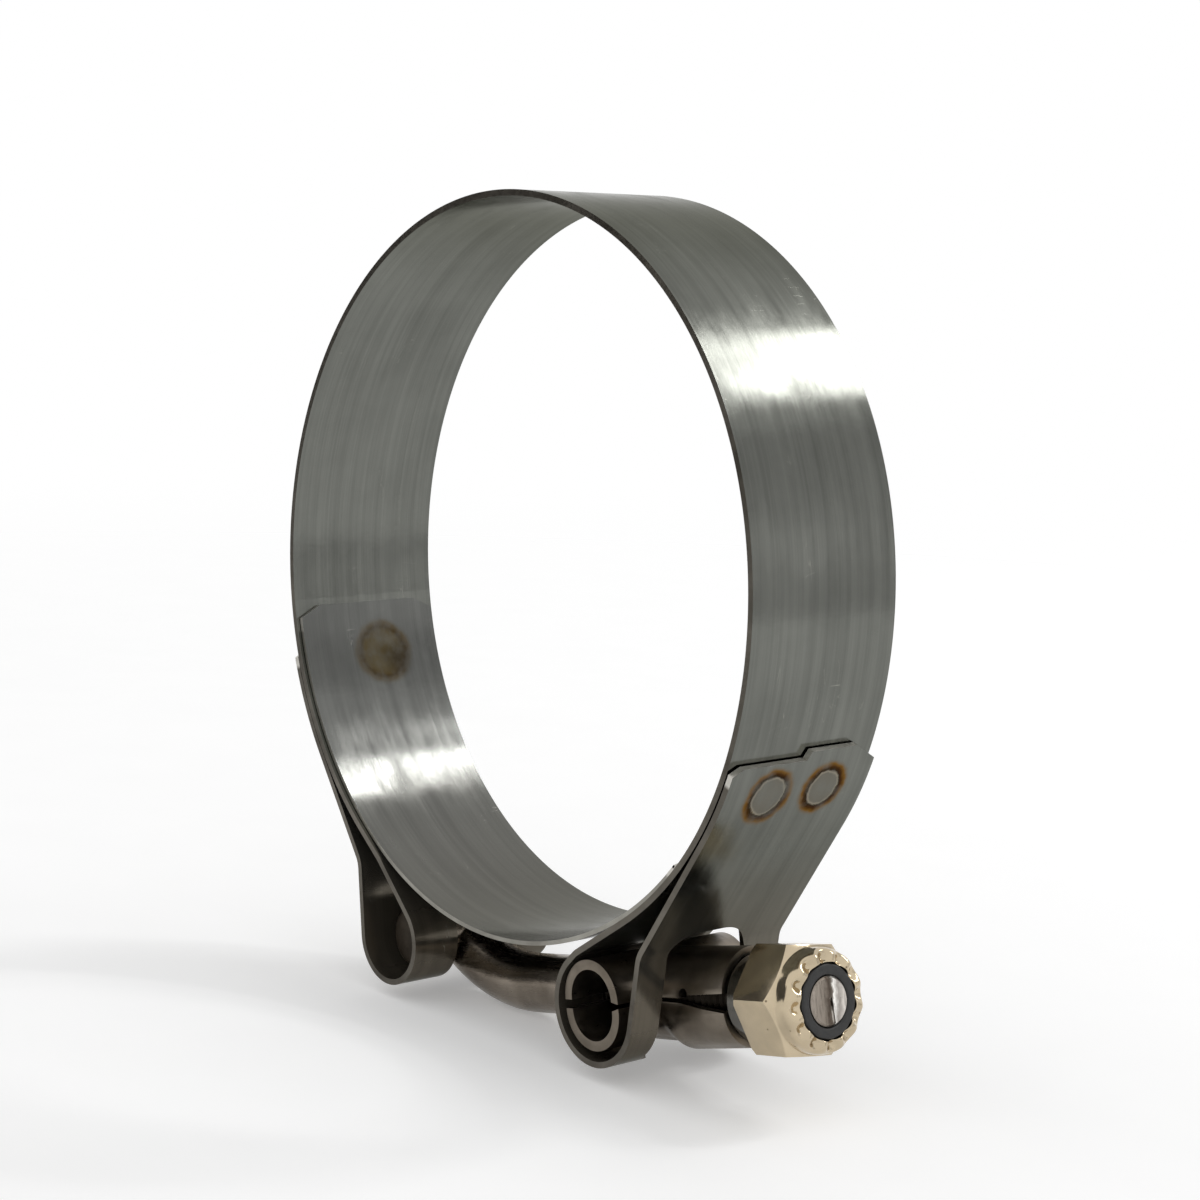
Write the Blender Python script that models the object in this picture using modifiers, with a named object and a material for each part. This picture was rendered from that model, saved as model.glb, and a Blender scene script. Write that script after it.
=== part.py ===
"""T bolt hose clamp for a 76 mm hose.

One stainless strip is cut flat with its slots, then bent along a path: a ring with a loop at each
end, each end folded back over the ring and spot welded to it. A thin liner bridges the gap under
the loops. A T bolt hangs in the left loop, passes a barrel with a sleeve that sits in the right
loop, and carries a lock nut with a nylon ring.

World frame: the ring's centre is the origin, +Y is the ring's axis, +Z is up, and the loops are
at the bottom with the nut towards +X. Ring angles are counted from the bottom towards +X.
"""
import bpy
import bmesh
from math import acos, asin, atan2, ceil, cos, pi, radians, sin, sqrt, tan
from mathutils import Matrix, Vector

MM = 0.001

# Strip and ring
STRIP_WIDTH = 19.05 * MM
STRIP_THICKNESS = 0.635 * MM
RING_RADIUS = 38.38 * MM
RING_OVAL = 0.83 * MM
RING_OVAL_ANGLE = radians(-17)
LAYER_GAP = 0.08 * MM
BEND_RADIUS = 3.0 * MM
RING_STEP = radians(3)
LOOP_STEP = radians(9)

# Loops: how far their centres lie to the side of the ring's and outside it, and their play
LEFT_LOOP_X = -17.19 * MM
LEFT_LOOP_STANDOFF = 7.49 * MM
LEFT_LOOP_PLAY = 0.825 * MM
RIGHT_LOOP_X = 17.45 * MM
RIGHT_LOOP_STANDOFF = 6.69 * MM
RIGHT_LOOP_PLAY = 0.4 * MM

# Straps between ring and loops: straight off the ring, then bent outwards to the loop
LEFT_OUTER_REACH = 13.5 * MM
LEFT_OUTER_BEND = radians(28.7)
LEFT_INNER_REACH = 4.25 * MM
LEFT_INNER_BEND = radians(6)
RIGHT_INNER_REACH = 8.15 * MM
RIGHT_INNER_BEND = radians(12)
RIGHT_OUTER_REACH = 15.25 * MM
RIGHT_OUTER_BEND = radians(25.7)
STRAP_SEARCH = radians(60)

# Cut ends of the strip, and how far each outer strap lies on the ring
LEFT_OVERLAP = 12.9 * MM
RIGHT_OVERLAP = 9.3 * MM
END_STEP = 0.9 * MM
END_STEP_RUN = 0.4 * MM
FRONT_CHAMFER = (0.7 * MM, 1.2 * MM)
BACK_CHAMFER = (1.7 * MM, 3.0 * MM)

# Slots in the strip
SHANK_SLOT_MARGIN = 0.6 * MM
LEFT_SLOT_LOW_ANGLE = radians(290)
LEFT_SLOT_HIGH_ANGLE = radians(385)
SLEEVE_SLOT_FRONT = 1.5 * MM
SLEEVE_SLOT_BACK = 0.35 * MM
SLEEVE_SLOT_RISE = 2.4 * MM
SLEEVE_SLOT_CORNER = 2.8 * MM
SLEEVE_SLOT_LOW_ANGLE = radians(292)

# Spot welds
WELD_FROM_END = 4.35 * MM
WELD_SPACING = 8.0 * MM
WELD_RADIUS = 1.5 * MM

# Bridge liner
LINER_THICKNESS = 0.45 * MM
LINER_INSET = 0.4 * MM
LINER_OVERRUN = 4.05 * MM
LINER_SETBACK = 3.35 * MM
LINER_CHAMFER = (1.3 * MM, 2.6 * MM)

# Bolt
BOLT_PITCH_ANGLE = radians(11.65)
SHANK_RADIUS = 3.175 * MM
BEND_LINE_RADIUS = 19.0 * MM
CROSS_BAR_RADIUS = 3.3 * MM
CROSS_BAR_INSET = 2.525 * MM
CROSS_BAR_CHAMFER = 0.5 * MM
PILOT_RADIUS = 2.65 * MM
PILOT_LENGTH = 2.1 * MM
PILOT_CHAMFER = 0.25 * MM

# Barrel and sleeve of the trunnion, pressed from sheet in two shells
SHEET = 1.0 * MM
BARREL_RADIUS = 4.05 * MM
BARREL_HALF_HEIGHT = 4.6 * MM
BARREL_INSET = 0.325 * MM
BARREL_RISE = 0.27 * MM
SLEEVE_HALF_WIDTH = 4.4 * MM
SLEEVE_LENGTH = 15.3 * MM
SLEEVE_ROOT = 4.55 * MM
SLEEVE_END_TOP = 5.0 * MM
SLEEVE_BULGE = 5.45 * MM
SLEEVE_END_BOTTOM = 5.05 * MM
SHOULDER_START = 5.0 * MM
SHOULDER_LENGTH = 1.6 * MM
SEAM_BARREL_HALF = 0.45 * MM
SEAM_ROOT_TOP = 0.65 * MM
SEAM_ROOT_BOTTOM = 0.1 * MM
SEAM_END_TOP = 1.05 * MM
SEAM_END_BOTTOM = -0.6 * MM
RELIEF_RADIUS = 0.7 * MM
RELIEF_POSITION = 9.4 * MM
RELIEF_RISE = 0.6 * MM

# Lock nut, with lengths along the bolt
NUT_FLATS = 11.11 * MM
NUT_COLLAR_RADIUS = 4.9 * MM
NUT_COLLAR_LENGTH = 2.4 * MM
NUT_COLLAR_CHAMFER = 0.2 * MM
NUT_HEX_LENGTH = 4.45 * MM
NUT_CORNER_CHAMFER = 1.0 * MM
NUT_BASE_CHAMFER = 0.3 * MM
NUT_CROWN_RADIUS = 5.2 * MM
NUT_CROWN_LENGTH = 2.0 * MM
NUT_CROWN_ROUND = 0.9 * MM
NUT_LIP_RADIUS = 3.8 * MM
NUT_LIP = 0.35 * MM
NUT_POCKET_RADIUS = 4.25 * MM
DENT_COUNT = 12
DENT_RADIUS = 0.7 * MM
DENT_DEPTH = 0.3 * MM
DENT_CIRCLE_RADIUS = 4.35 * MM

# Clearances
SEAT_GAP = 0.3 * MM
LINER_GAP = 0.2 * MM
BORE_GAP = 0.4 * MM
BORE_EASE = 0.25 * MM
NYLON_GAP = 0.2 * MM

# Facets of round forms, and how far cutters reach past what they cut
ROUND_STEPS = 32
SMALL_ROUND_STEPS = 16
SHANK_SIDES = 24
NUT_STEPS = 36
SLOT_STEP = radians(15)
BOLT_BEND_STEP = radians(4)
CROWN_STEP = radians(20)
CUT_MARGIN = 2.0 * MM

strip_mid_radius = RING_RADIUS - STRIP_THICKNESS / 2
layer_pitch = STRIP_THICKNESS + LAYER_GAP
left_loop_distance = RING_RADIUS + LEFT_LOOP_STANDOFF
left_loop = Vector((LEFT_LOOP_X, -sqrt(left_loop_distance ** 2 - LEFT_LOOP_X ** 2)))
right_loop_distance = RING_RADIUS + RIGHT_LOOP_STANDOFF
right_loop = Vector((RIGHT_LOOP_X, -sqrt(right_loop_distance ** 2 - RIGHT_LOOP_X ** 2)))
left_loop_bore = CROSS_BAR_RADIUS + SEAT_GAP + LEFT_LOOP_PLAY
right_loop_bore = BARREL_HALF_HEIGHT + SEAT_GAP + RIGHT_LOOP_PLAY
left_loop_mid = left_loop_bore + STRIP_THICKNESS / 2
right_loop_mid = right_loop_bore + STRIP_THICKNESS / 2
cross_bar_length = STRIP_WIDTH - 2 * CROSS_BAR_INSET
barrel_length = STRIP_WIDTH - 2 * BARREL_INSET

# The bolt's line: it runs through the barrel, which the bolt's pull seats against its loop
bolt_along = Vector((cos(BOLT_PITCH_ANGLE), sin(BOLT_PITCH_ANGLE)))
bolt_up = Vector((-sin(BOLT_PITCH_ANGLE), cos(BOLT_PITCH_ANGLE)))
arc_offset = BARREL_HALF_HEIGHT - BARREL_RADIUS
seat_pull = sqrt((arc_offset + RIGHT_LOOP_PLAY) ** 2 - (arc_offset + BARREL_RISE) ** 2)
barrel_centre = right_loop + BARREL_RISE * bolt_up - seat_pull * bolt_along
cross_bar_centre = left_loop + Vector((LEFT_LOOP_PLAY, 0))
nut_start = SLEEVE_LENGTH + SEAT_GAP
nut_length = NUT_COLLAR_LENGTH + NUT_HEX_LENGTH + NUT_CROWN_LENGTH
shank_end = nut_start + nut_length - PILOT_LENGTH


def clear_scene():
    """Remove the objects that the scene starts with."""
    for old in list(bpy.data.objects):
        bpy.data.objects.remove(old, do_unlink=True)


def new_collection(name):
    collection = bpy.data.collections.new(name)
    bpy.context.scene.collection.children.link(collection)
    return collection


def steel(name, colour, roughness, metallic=1.0):
    """A Principled material for one piece."""
    material = bpy.data.materials.new(name)
    material.use_nodes = True
    shader = material.node_tree.nodes["Principled BSDF"]
    shader.inputs["Base Color"].default_value = (*colour, 1.0)
    shader.inputs["Roughness"].default_value = roughness
    shader.inputs["Metallic"].default_value = metallic
    return material


def add_object(name, mesh, collection, frame):
    """Link a mesh as an object that stands in the given frame."""
    thing = bpy.data.objects.new(name, mesh)
    collection.objects.link(thing)
    thing.matrix_world = frame
    return thing


def add_cutter(name, mesh, frame):
    """A helper solid: it shapes other pieces and is never a piece itself."""
    cutter = add_object(name, mesh, cutters, frame)
    cutter.hide_render = True
    cutter.display_type = "WIRE"
    return cutter


def combine(thing, other, operation):
    boolean = thing.modifiers.new(operation.lower() + " " + other.name, "BOOLEAN")
    boolean.operation = operation
    boolean.solver = "EXACT"
    boolean.object = other


def evaluated_mesh(thing):
    bpy.context.view_layer.update()
    graph = bpy.context.evaluated_depsgraph_get()
    return bpy.data.meshes.new_from_object(thing.evaluated_get(graph))


def shade(mesh, sharp_angle=radians(35)):
    mesh.shade_smooth()
    mesh.set_sharp_from_angle(angle=sharp_angle)


def heading_vector(heading):
    return Vector((cos(heading), sin(heading)))


def arc(centre, radius, start, end, step):
    """Points on a circle from one angle to another, both ends included."""
    count = max(1, ceil(abs(end - start) / step))
    angles = [start + (end - start) * i / count for i in range(count + 1)]
    return [centre + radius * heading_vector(angle) for angle in angles]


def ring_point(angle, offset=0.0):
    """A point of the oval ring's middle line, moved outwards by the offset."""
    radius = strip_mid_radius + offset + RING_OVAL * cos(2 * (angle - RING_OVAL_ANGLE))
    return Vector((radius * sin(angle), -radius * cos(angle)))


def ring_heading(angle, offset=0.0):
    """The ring's direction there, towards growing angles."""
    step = radians(0.1)
    along = ring_point(angle + step, offset) - ring_point(angle - step, offset)
    return atan2(along.y, along.x)


def ring_arc(start, end, offset=0.0, step=RING_STEP):
    count = max(1, ceil(abs(end - start) / step))
    return [ring_point(start + (end - start) * i / count, offset) for i in range(count + 1)]


def bend(corner, heading_in, heading_out, radius=BEND_RADIUS, step=LOOP_STEP):
    """A round bend that is tangent to both lines through the corner."""
    turn = (heading_out - heading_in + pi) % (2 * pi) - pi
    side = 1 if turn > 0 else -1
    start = corner - heading_vector(heading_in) * radius * tan(abs(turn) / 2)
    centre = start + radius * heading_vector(heading_in + side * pi / 2)
    first = heading_in - side * pi / 2
    return arc(centre, radius, first, first + turn, step)


def strap(loop, loop_mid, side, is_outer, reach, bend_angle):
    """Where a strap leaves the ring so that, bent outwards after its reach, it meets its loop.

    Returns that ring angle, the bend's corner, and the headings before and after the bend.
    """
    offset = layer_pitch if is_outer else 0.0
    wall = -side if is_outer else side
    near = atan2(loop.x, -loop.y)
    far = near + side * STRAP_SEARCH
    for _ in range(50):
        angle = (near + far) / 2
        along_ring = ring_heading(angle, offset) + (pi if side > 0 else 0)
        corner = ring_point(angle, offset) + reach * heading_vector(along_ring)
        along_loop = along_ring + side * bend_angle
        aside = wall * heading_vector(along_loop).cross(loop - corner)
        if (aside > loop_mid) != is_outer:
            near = angle
        else:
            far = angle
    return angle, corner, along_ring, along_loop


def left_straps():
    """The left outer strap and the left inner strap."""
    return (strap(left_loop, left_loop_mid, -1, True, LEFT_OUTER_REACH, LEFT_OUTER_BEND),
            strap(left_loop, left_loop_mid, -1, False, LEFT_INNER_REACH, LEFT_INNER_BEND))


def right_straps():
    """The right inner strap and the right outer strap."""
    return (strap(right_loop, right_loop_mid, 1, False, RIGHT_INNER_REACH, RIGHT_INNER_BEND),
            strap(right_loop, right_loop_mid, 1, True, RIGHT_OUTER_REACH, RIGHT_OUTER_BEND))


def outer_ends():
    """The ring angles where the left and the right outer strap end."""
    left = left_straps()[0][0] - LEFT_OVERLAP / RING_RADIUS
    right = right_straps()[1][0] + RIGHT_OVERLAP / RING_RADIUS
    return left, right


def loop_arc(centre, radius, heading_in, heading_out):
    """Round a loop, anticlockwise, from one heading to the other."""
    start = heading_in - pi / 2
    sweep = (heading_out - heading_in) % (2 * pi)
    return arc(centre, radius, start, start + sweep, LOOP_STEP)


def strip_path():
    """The middle line of the strip, from its left outer end to its right outer end."""
    left_end, right_end = outer_ends()
    outer, inner = left_straps()
    points = ring_arc(left_end, outer[0], layer_pitch)
    points += bend(outer[1], outer[2], outer[3])
    points += loop_arc(left_loop, left_loop_mid, outer[3], inner[3] + pi)
    points += bend(inner[1], inner[3] + pi, inner[2] + pi)

    left_leaving = inner[0]
    inner, outer = right_straps()
    points += ring_arc(left_leaving, inner[0] - 2 * pi)
    points += bend(inner[1], inner[2], inner[3])
    points += loop_arc(right_loop, right_loop_mid, inner[3], outer[3] + pi)
    points += bend(outer[1], outer[3] + pi, outer[2] + pi)
    points += ring_arc(outer[0], right_end, layer_pitch)
    return points


def stations(points):
    """Distance along the path at each of its points."""
    run = [0.0]
    for a, b in zip(points, points[1:]):
        run.append(run[-1] + (b - a).length)
    return run


def distance_along(points, run, target, after=0.0):
    """How far along the path its nearest point to the target is, past the given distance."""
    best = None
    for i, (a, b) in enumerate(zip(points, points[1:])):
        if run[i] < after:
            continue
        edge = b - a
        share = min(1.0, max(0.0, (target - a).dot(edge) / edge.length_squared))
        miss = (target - a - edge * share).length
        if best is None or miss < best[0]:
            best = (miss, run[i] + share * edge.length)
    return best[1]


def flat_mesh(outlines, half_thickness=0.0):
    """A filled flat shape from closed outlines; inner outlines are holes."""
    curve = bpy.data.curves.new("outline", "CURVE")
    curve.dimensions = "2D"
    curve.fill_mode = "BOTH"
    curve.extrude = half_thickness
    for outline in outlines:
        spline = curve.splines.new("POLY")
        spline.points.add(len(outline) - 1)
        for point, place in zip(spline.points, outline):
            point.co = (place[0], place[1], 0.0, 1.0)
        spline.use_cyclic_u = True
    holder = bpy.data.objects.new("outline", curve)
    cutters.objects.link(holder)
    mesh = evaluated_mesh(holder)
    bpy.data.objects.remove(holder, do_unlink=True)
    shape = bmesh.new()
    shape.from_mesh(mesh)
    bmesh.ops.remove_doubles(shape, verts=shape.verts, dist=1e-7)
    bmesh.ops.recalc_face_normals(shape, faces=shape.faces)
    shape.to_mesh(mesh)
    shape.free()
    return mesh


def upright_prism(outline, half_width):
    """A flat outline in X and Z, thickened along Y."""
    mesh = flat_mesh([outline], half_width)
    mesh.transform(Matrix.Rotation(pi / 2, 4, "X"))
    return mesh


def bend_blank(mesh, points, run):
    """Bend a flat blank, X along the strip and Y across it, round the path."""
    tiny = 5e-7
    shape = bmesh.new()
    shape.from_mesh(mesh)
    folds = run[1:-1]
    for place in folds:
        everything = shape.verts[:] + shape.edges[:] + shape.faces[:]
        bmesh.ops.bisect_plane(shape, geom=everything, dist=tiny,
                               plane_co=(place, 0, 0), plane_no=(1, 0, 0))
    inside = []
    for edge in shape.edges:
        a, b = (vert.co.x for vert in edge.verts)
        on_fold = abs(a - b) < 2 * tiny and min(abs(a - place) for place in folds) < 2 * tiny
        if len(edge.link_faces) == 2 and not on_fold:
            inside.append(edge)
    bmesh.ops.dissolve_edges(shape, edges=inside, use_verts=False)
    spare = [vert for vert in shape.verts if len(vert.link_edges) == 2
             and all(len(edge.link_faces) == 2 for edge in vert.link_edges)]
    bmesh.ops.dissolve_verts(shape, verts=spare)
    for vert in shape.verts:
        i = 0
        while i < len(run) - 2 and run[i + 1] < vert.co.x - 2 * tiny:
            i += 1
        share = (vert.co.x - run[i]) / (run[i + 1] - run[i])
        place = points[i].lerp(points[i + 1], share)
        vert.co = (place.x, vert.co.y, place.y)
    bmesh.ops.recalc_face_normals(shape, faces=shape.faces)
    shape.to_mesh(mesh)
    shape.free()


def slot_outline(start, end, half_width):
    """A slot with round ends, their centres at start and end."""
    return (arc(Vector((end, 0)), half_width, -pi / 2, pi / 2, SLOT_STEP)
            + arc(Vector((start, 0)), half_width, pi / 2, 3 * pi / 2, SLOT_STEP))


def sleeve_slot_outline(hole, low, high, half_narrow):
    """The wide slot for the sleeve, with a narrow tail that ends round the shank's hole."""
    front = -SLEEVE_HALF_WIDTH - SLEEVE_SLOT_FRONT
    back = SLEEVE_HALF_WIDTH + SLEEVE_SLOT_BACK
    r = SLEEVE_SLOT_CORNER
    step = SLOT_STEP
    front_turn = asin(max(0.0, (half_narrow + front + r) / r))
    back_turn = asin(max(0.0, (half_narrow - back + r) / r))
    outline = arc(Vector((hole, 0)), half_narrow, pi / 2, 3 * pi / 2, step)
    outline += arc(Vector((low + r, front + r)), r, pi + front_turn, 3 * pi / 2, step)
    outline += arc(Vector((high - r, front + r)), r, -pi / 2, 0, step)
    outline += arc(Vector((high - r, back - r)), r, 0, pi / 2, step)
    outline += arc(Vector((low + r, back - r)), r, pi / 2, pi - back_turn, step)
    return outline


def strip_blank(length, slots):
    """The flat strip: stepped and chamfered ends, and its slots as holes."""
    w = STRIP_WIDTH / 2
    front_x, front_y = FRONT_CHAMFER
    back_x, back_y = BACK_CHAMFER
    right_end = [(length - END_STEP - front_x, -w), (length - END_STEP, -w + front_y),
                 (length - END_STEP, 0), (length, END_STEP_RUN),
                 (length, w - back_y), (length - back_x, w)]
    left_end = [(length - x, y) for x, y in reversed(right_end)]
    return flat_mesh([right_end + left_end] + slots)


def along_bolt(distance, rise=0.0):
    """A frame on the bolt's line, X along the bolt and Y across the strip."""
    place = barrel_centre + distance * bolt_along + rise * bolt_up
    return (Matrix.Translation((place.x, 0, place.y))
            @ Matrix.Rotation(-BOLT_PITCH_ANGLE, 4, "Y"))


def turned_frame(distance):
    """The same place with Z along the bolt, for turned pieces."""
    return along_bolt(distance) @ Matrix.Rotation(pi / 2, 4, "Y")


def cylinder(radius, length, steps=ROUND_STEPS):
    """A closed cylinder along Z, centred."""
    shape = bmesh.new()
    bmesh.ops.create_cone(shape, cap_ends=True, segments=steps,
                          radius1=radius, radius2=radius, depth=length)
    mesh = bpy.data.meshes.new("cylinder")
    shape.to_mesh(mesh)
    shape.free()
    return mesh


def turned_piece(name, profile, frame, steps=ROUND_STEPS):
    """A ring turned from a closed profile of radius and height, listed clockwise from its top."""
    mesh = bpy.data.meshes.new(name)
    verts = [(radius, 0, height) for radius, height in profile]
    edges = [(i, (i + 1) % len(verts)) for i in range(len(verts))]
    mesh.from_pydata(verts, edges, [])
    piece = add_object(name, mesh, parts, frame)
    screw = piece.modifiers.new("turn", "SCREW")
    screw.steps = steps
    screw.render_steps = steps
    screw.use_merge_vertices = True
    screw.merge_threshold = 0.000001
    return piece


def thicken(piece, thickness):
    """Give a surface its sheet thickness, half to each side."""
    sheet = piece.modifiers.new("sheet", "SOLIDIFY")
    sheet.thickness = thickness
    sheet.offset = 0
    sheet.use_even_offset = True


def build_band():
    """The strip, cut flat with its slots, bent round its path and spot welded to itself."""
    points = strip_path()
    run = stations(points)
    narrow = SHANK_RADIUS + SHANK_SLOT_MARGIN

    def place_of(target, after=0.0):
        return distance_along(points, run, target, after)

    left_low = place_of(left_loop + left_loop_mid * heading_vector(LEFT_SLOT_LOW_ANGLE))
    left_high = place_of(left_loop + left_loop_mid * heading_vector(LEFT_SLOT_HIGH_ANGLE))
    rise = asin((BARREL_RISE + narrow) / right_loop_bore)
    tip = right_loop + right_loop_mid * heading_vector(BOLT_PITCH_ANGLE + pi - rise)
    hole = place_of(tip) + narrow
    sleeve_low = place_of(right_loop + right_loop_mid * heading_vector(SLEEVE_SLOT_LOW_ANGLE))
    out = right_loop.x + right_loop_mid - barrel_centre.x
    above = barrel_centre + out * bolt_along + (SLEEVE_END_TOP + SLEEVE_SLOT_RISE) * bolt_up
    sleeve_high = place_of(above, sleeve_low)

    slots = [slot_outline(left_low, left_high, narrow),
             sleeve_slot_outline(hole, sleeve_low, sleeve_high, narrow)]
    mesh = strip_blank(run[-1], slots)
    bend_blank(mesh, points, run)
    mesh.materials.append(steel("band_steel", (0.30, 0.29, 0.27), 0.32))
    shade(mesh)
    band = add_object("band", mesh, parts, world)
    thicken(band, STRIP_THICKNESS)

    nuggets = bmesh.new()
    for side, end in zip((-1, 1), outer_ends()):
        weld_angle = end - side * WELD_FROM_END / RING_RADIUS
        spot = ring_point(weld_angle, layer_pitch / 2)
        for across in (-WELD_SPACING / 2, WELD_SPACING / 2):
            turn = Matrix.Rotation(pi - weld_angle, 4, "Y")
            place = Matrix.Translation((spot.x, across, spot.y)) @ turn
            bmesh.ops.create_cone(nuggets, cap_ends=True, segments=SMALL_ROUND_STEPS,
                                  radius1=WELD_RADIUS, radius2=WELD_RADIUS,
                                  depth=layer_pitch, matrix=place)
    mesh = bpy.data.meshes.new("weld nuggets")
    nuggets.to_mesh(mesh)
    nuggets.free()
    combine(band, add_cutter("weld nuggets", mesh, world), "UNION")


def build_liner():
    """The thin inner strip that bridges the gap under the loops."""
    inset = STRIP_THICKNESS / 2 + LINER_GAP + LINER_THICKNESS / 2
    start = outer_ends()[0] - LINER_OVERRUN / RING_RADIUS
    end = right_straps()[1][0] - LINER_SETBACK / RING_RADIUS
    points = ring_arc(start, end, -inset)
    run = stations(points)
    w = STRIP_WIDTH / 2 - LINER_INSET
    x, y = LINER_CHAMFER
    length = run[-1]
    outline = [(x, -w), (length - x, -w), (length, -w + y), (length, w - y),
               (length - x, w), (x, w), (0, w - y), (0, -w + y)]
    mesh = flat_mesh([outline])
    bend_blank(mesh, points, run)
    mesh.materials.append(steel("liner_steel", (0.33, 0.33, 0.31), 0.35))
    shade(mesh)
    liner = add_object("bridge_liner", mesh, parts, world)
    thicken(liner, LINER_THICKNESS)


def bolt_rod_mesh(reach):
    """The bent rod in the bolt's own frame: cross bar at the origin, shank along X."""
    drop = (barrel_centre - cross_bar_centre).dot(-bolt_up)
    bend_angle = acos(1 - drop / BEND_LINE_RADIUS)
    tangent = BEND_LINE_RADIUS * sin(bend_angle)
    middle = Vector((tangent, BEND_LINE_RADIUS - drop))
    line = arc(middle, BEND_LINE_RADIUS, -pi / 2 - bend_angle, -pi / 2, BOLT_BEND_STEP)
    line += [Vector((reach - SHANK_RADIUS + PILOT_RADIUS, -drop)), Vector((reach, -drop)),
             Vector((reach + PILOT_LENGTH - PILOT_CHAMFER, -drop)),
             Vector((reach + PILOT_LENGTH, -drop))]
    end_radii = [SHANK_RADIUS, PILOT_RADIUS, PILOT_RADIUS, PILOT_RADIUS - PILOT_CHAMFER]

    curve = bpy.data.curves.new("rod", "CURVE")
    curve.dimensions = "3D"
    curve.bevel_depth = SHANK_RADIUS
    curve.bevel_resolution = SHANK_SIDES // 2 - 2
    curve.use_fill_caps = True
    spline = curve.splines.new("POLY")
    spline.points.add(len(line) - 1)
    for point, place in zip(spline.points, line):
        point.co = (place.x, 0, place.y, 1)
    for point, radius in zip(spline.points[-len(end_radii):], end_radii):
        point.radius = radius / SHANK_RADIUS
    holder = bpy.data.objects.new("rod", curve)
    cutters.objects.link(holder)
    mesh = evaluated_mesh(holder)
    bpy.data.objects.remove(holder, do_unlink=True)
    shape = bmesh.new()
    shape.from_mesh(mesh)
    bmesh.ops.remove_doubles(shape, verts=shape.verts, dist=1e-7)
    bmesh.ops.recalc_face_normals(shape, faces=shape.faces)
    shape.to_mesh(mesh)
    shape.free()
    return mesh


def build_bolt():
    """The bent bolt: its cross bar lies across the left loop and is its joint's axis."""
    along = (barrel_centre - cross_bar_centre).dot(bolt_along)
    frame = (Matrix.Translation((cross_bar_centre.x, 0, cross_bar_centre.y))
             @ Matrix.Rotation(-BOLT_PITCH_ANGLE, 4, "Y"))
    mesh = bolt_rod_mesh(along + shank_end)
    mesh.materials.append(steel("bolt_steel", (0.32, 0.29, 0.26), 0.3))
    shade(mesh)
    bolt = add_object("t_bolt", mesh, parts, frame)

    bar = cylinder(CROSS_BAR_RADIUS, cross_bar_length)
    bar.transform(Matrix.Rotation(pi / 2, 4, "X"))
    shade(bar)
    cross_bar = add_cutter("cross bar", bar, frame)
    rounding = cross_bar.modifiers.new("rounding", "BEVEL")
    rounding.width = CROSS_BAR_CHAMFER
    rounding.segments = 2
    combine(bolt, cross_bar, "UNION")


def sleeve_section(top, bottom, half_width):
    """One closed cross section of the sleeve: two half circles joined by straight sides."""
    upper = arc(Vector((0, top - half_width)), half_width, 0, pi, 2 * pi / ROUND_STEPS)
    lower = arc(Vector((0, half_width - bottom)), half_width, pi, 2 * pi, 2 * pi / ROUND_STEPS)
    return upper + lower


def sleeve_mesh(inset, overrun, ease=0.0):
    """The sleeve as a loft from the barrel's middle to its end; its bore is inset, and eased for swing."""
    end_share = overrun / (SLEEVE_LENGTH - SHOULDER_START - SHOULDER_LENGTH)
    far_bottom = SLEEVE_END_BOTTOM - (SLEEVE_BULGE - SLEEVE_END_BOTTOM) * end_share
    shoulder = SHOULDER_START + SHOULDER_LENGTH
    root = SLEEVE_ROOT + ease
    top_rate = (SLEEVE_END_TOP - SLEEVE_ROOT) / SLEEVE_LENGTH
    places = [(0, root), (SHOULDER_START, root), (shoulder, SLEEVE_BULGE),
              (SLEEVE_LENGTH + overrun, far_bottom)]
    shape = bmesh.new()
    rings = []
    for x, bottom in places:
        top = root + top_rate * x
        section = sleeve_section(top - inset, bottom - inset, SLEEVE_HALF_WIDTH - inset)
        rings.append([shape.verts.new((x, p.x, p.y)) for p in section])
    for before, after in zip(rings, rings[1:]):
        for i in range(len(before)):
            j = (i + 1) % len(before)
            shape.faces.new((before[i], before[j], after[j], after[i]))
    shape.faces.new(rings[0])
    shape.faces.new(rings[-1])
    bmesh.ops.recalc_face_normals(shape, faces=shape.faces)
    mesh = bpy.data.meshes.new("sleeve")
    shape.to_mesh(mesh)
    shape.free()
    shade(mesh)
    return mesh


def barrel_mesh(radius, half_width):
    """The barrel's outline, two half circles set apart, thickened across the strip."""
    step = 2 * pi / ROUND_STEPS
    outline = (arc(Vector((0, arc_offset)), radius, 0, pi, step)
               + arc(Vector((0, -arc_offset)), radius, pi, 2 * pi, step))
    mesh = upright_prism(outline, half_width)
    shade(mesh)
    return mesh


def seam_cutter(side, frame):
    """All that lies across the seam from one shell: side 1 cuts for the upper, -1 for the lower."""
    far = SLEEVE_LENGTH + CUT_MARGIN
    inner = BARREL_RADIUS - SHEET
    if side > 0:
        edge = [SEAM_BARREL_HALF, SEAM_ROOT_TOP, SEAM_END_TOP]
    else:
        edge = [-SEAM_BARREL_HALF, SEAM_ROOT_BOTTOM, SEAM_END_BOTTOM]
    reach = -side * (SLEEVE_BULGE + CUT_MARGIN)
    outline = [(-far, reach), (-far, edge[0]), (inner, edge[0]), (BARREL_RADIUS, edge[1]),
               (SLEEVE_LENGTH, edge[2]), (far, edge[2]), (far, reach)]
    name = "below seam" if side > 0 else "above seam"
    return add_cutter(name, upright_prism(outline, barrel_length / 2 + CUT_MARGIN), frame)


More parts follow.
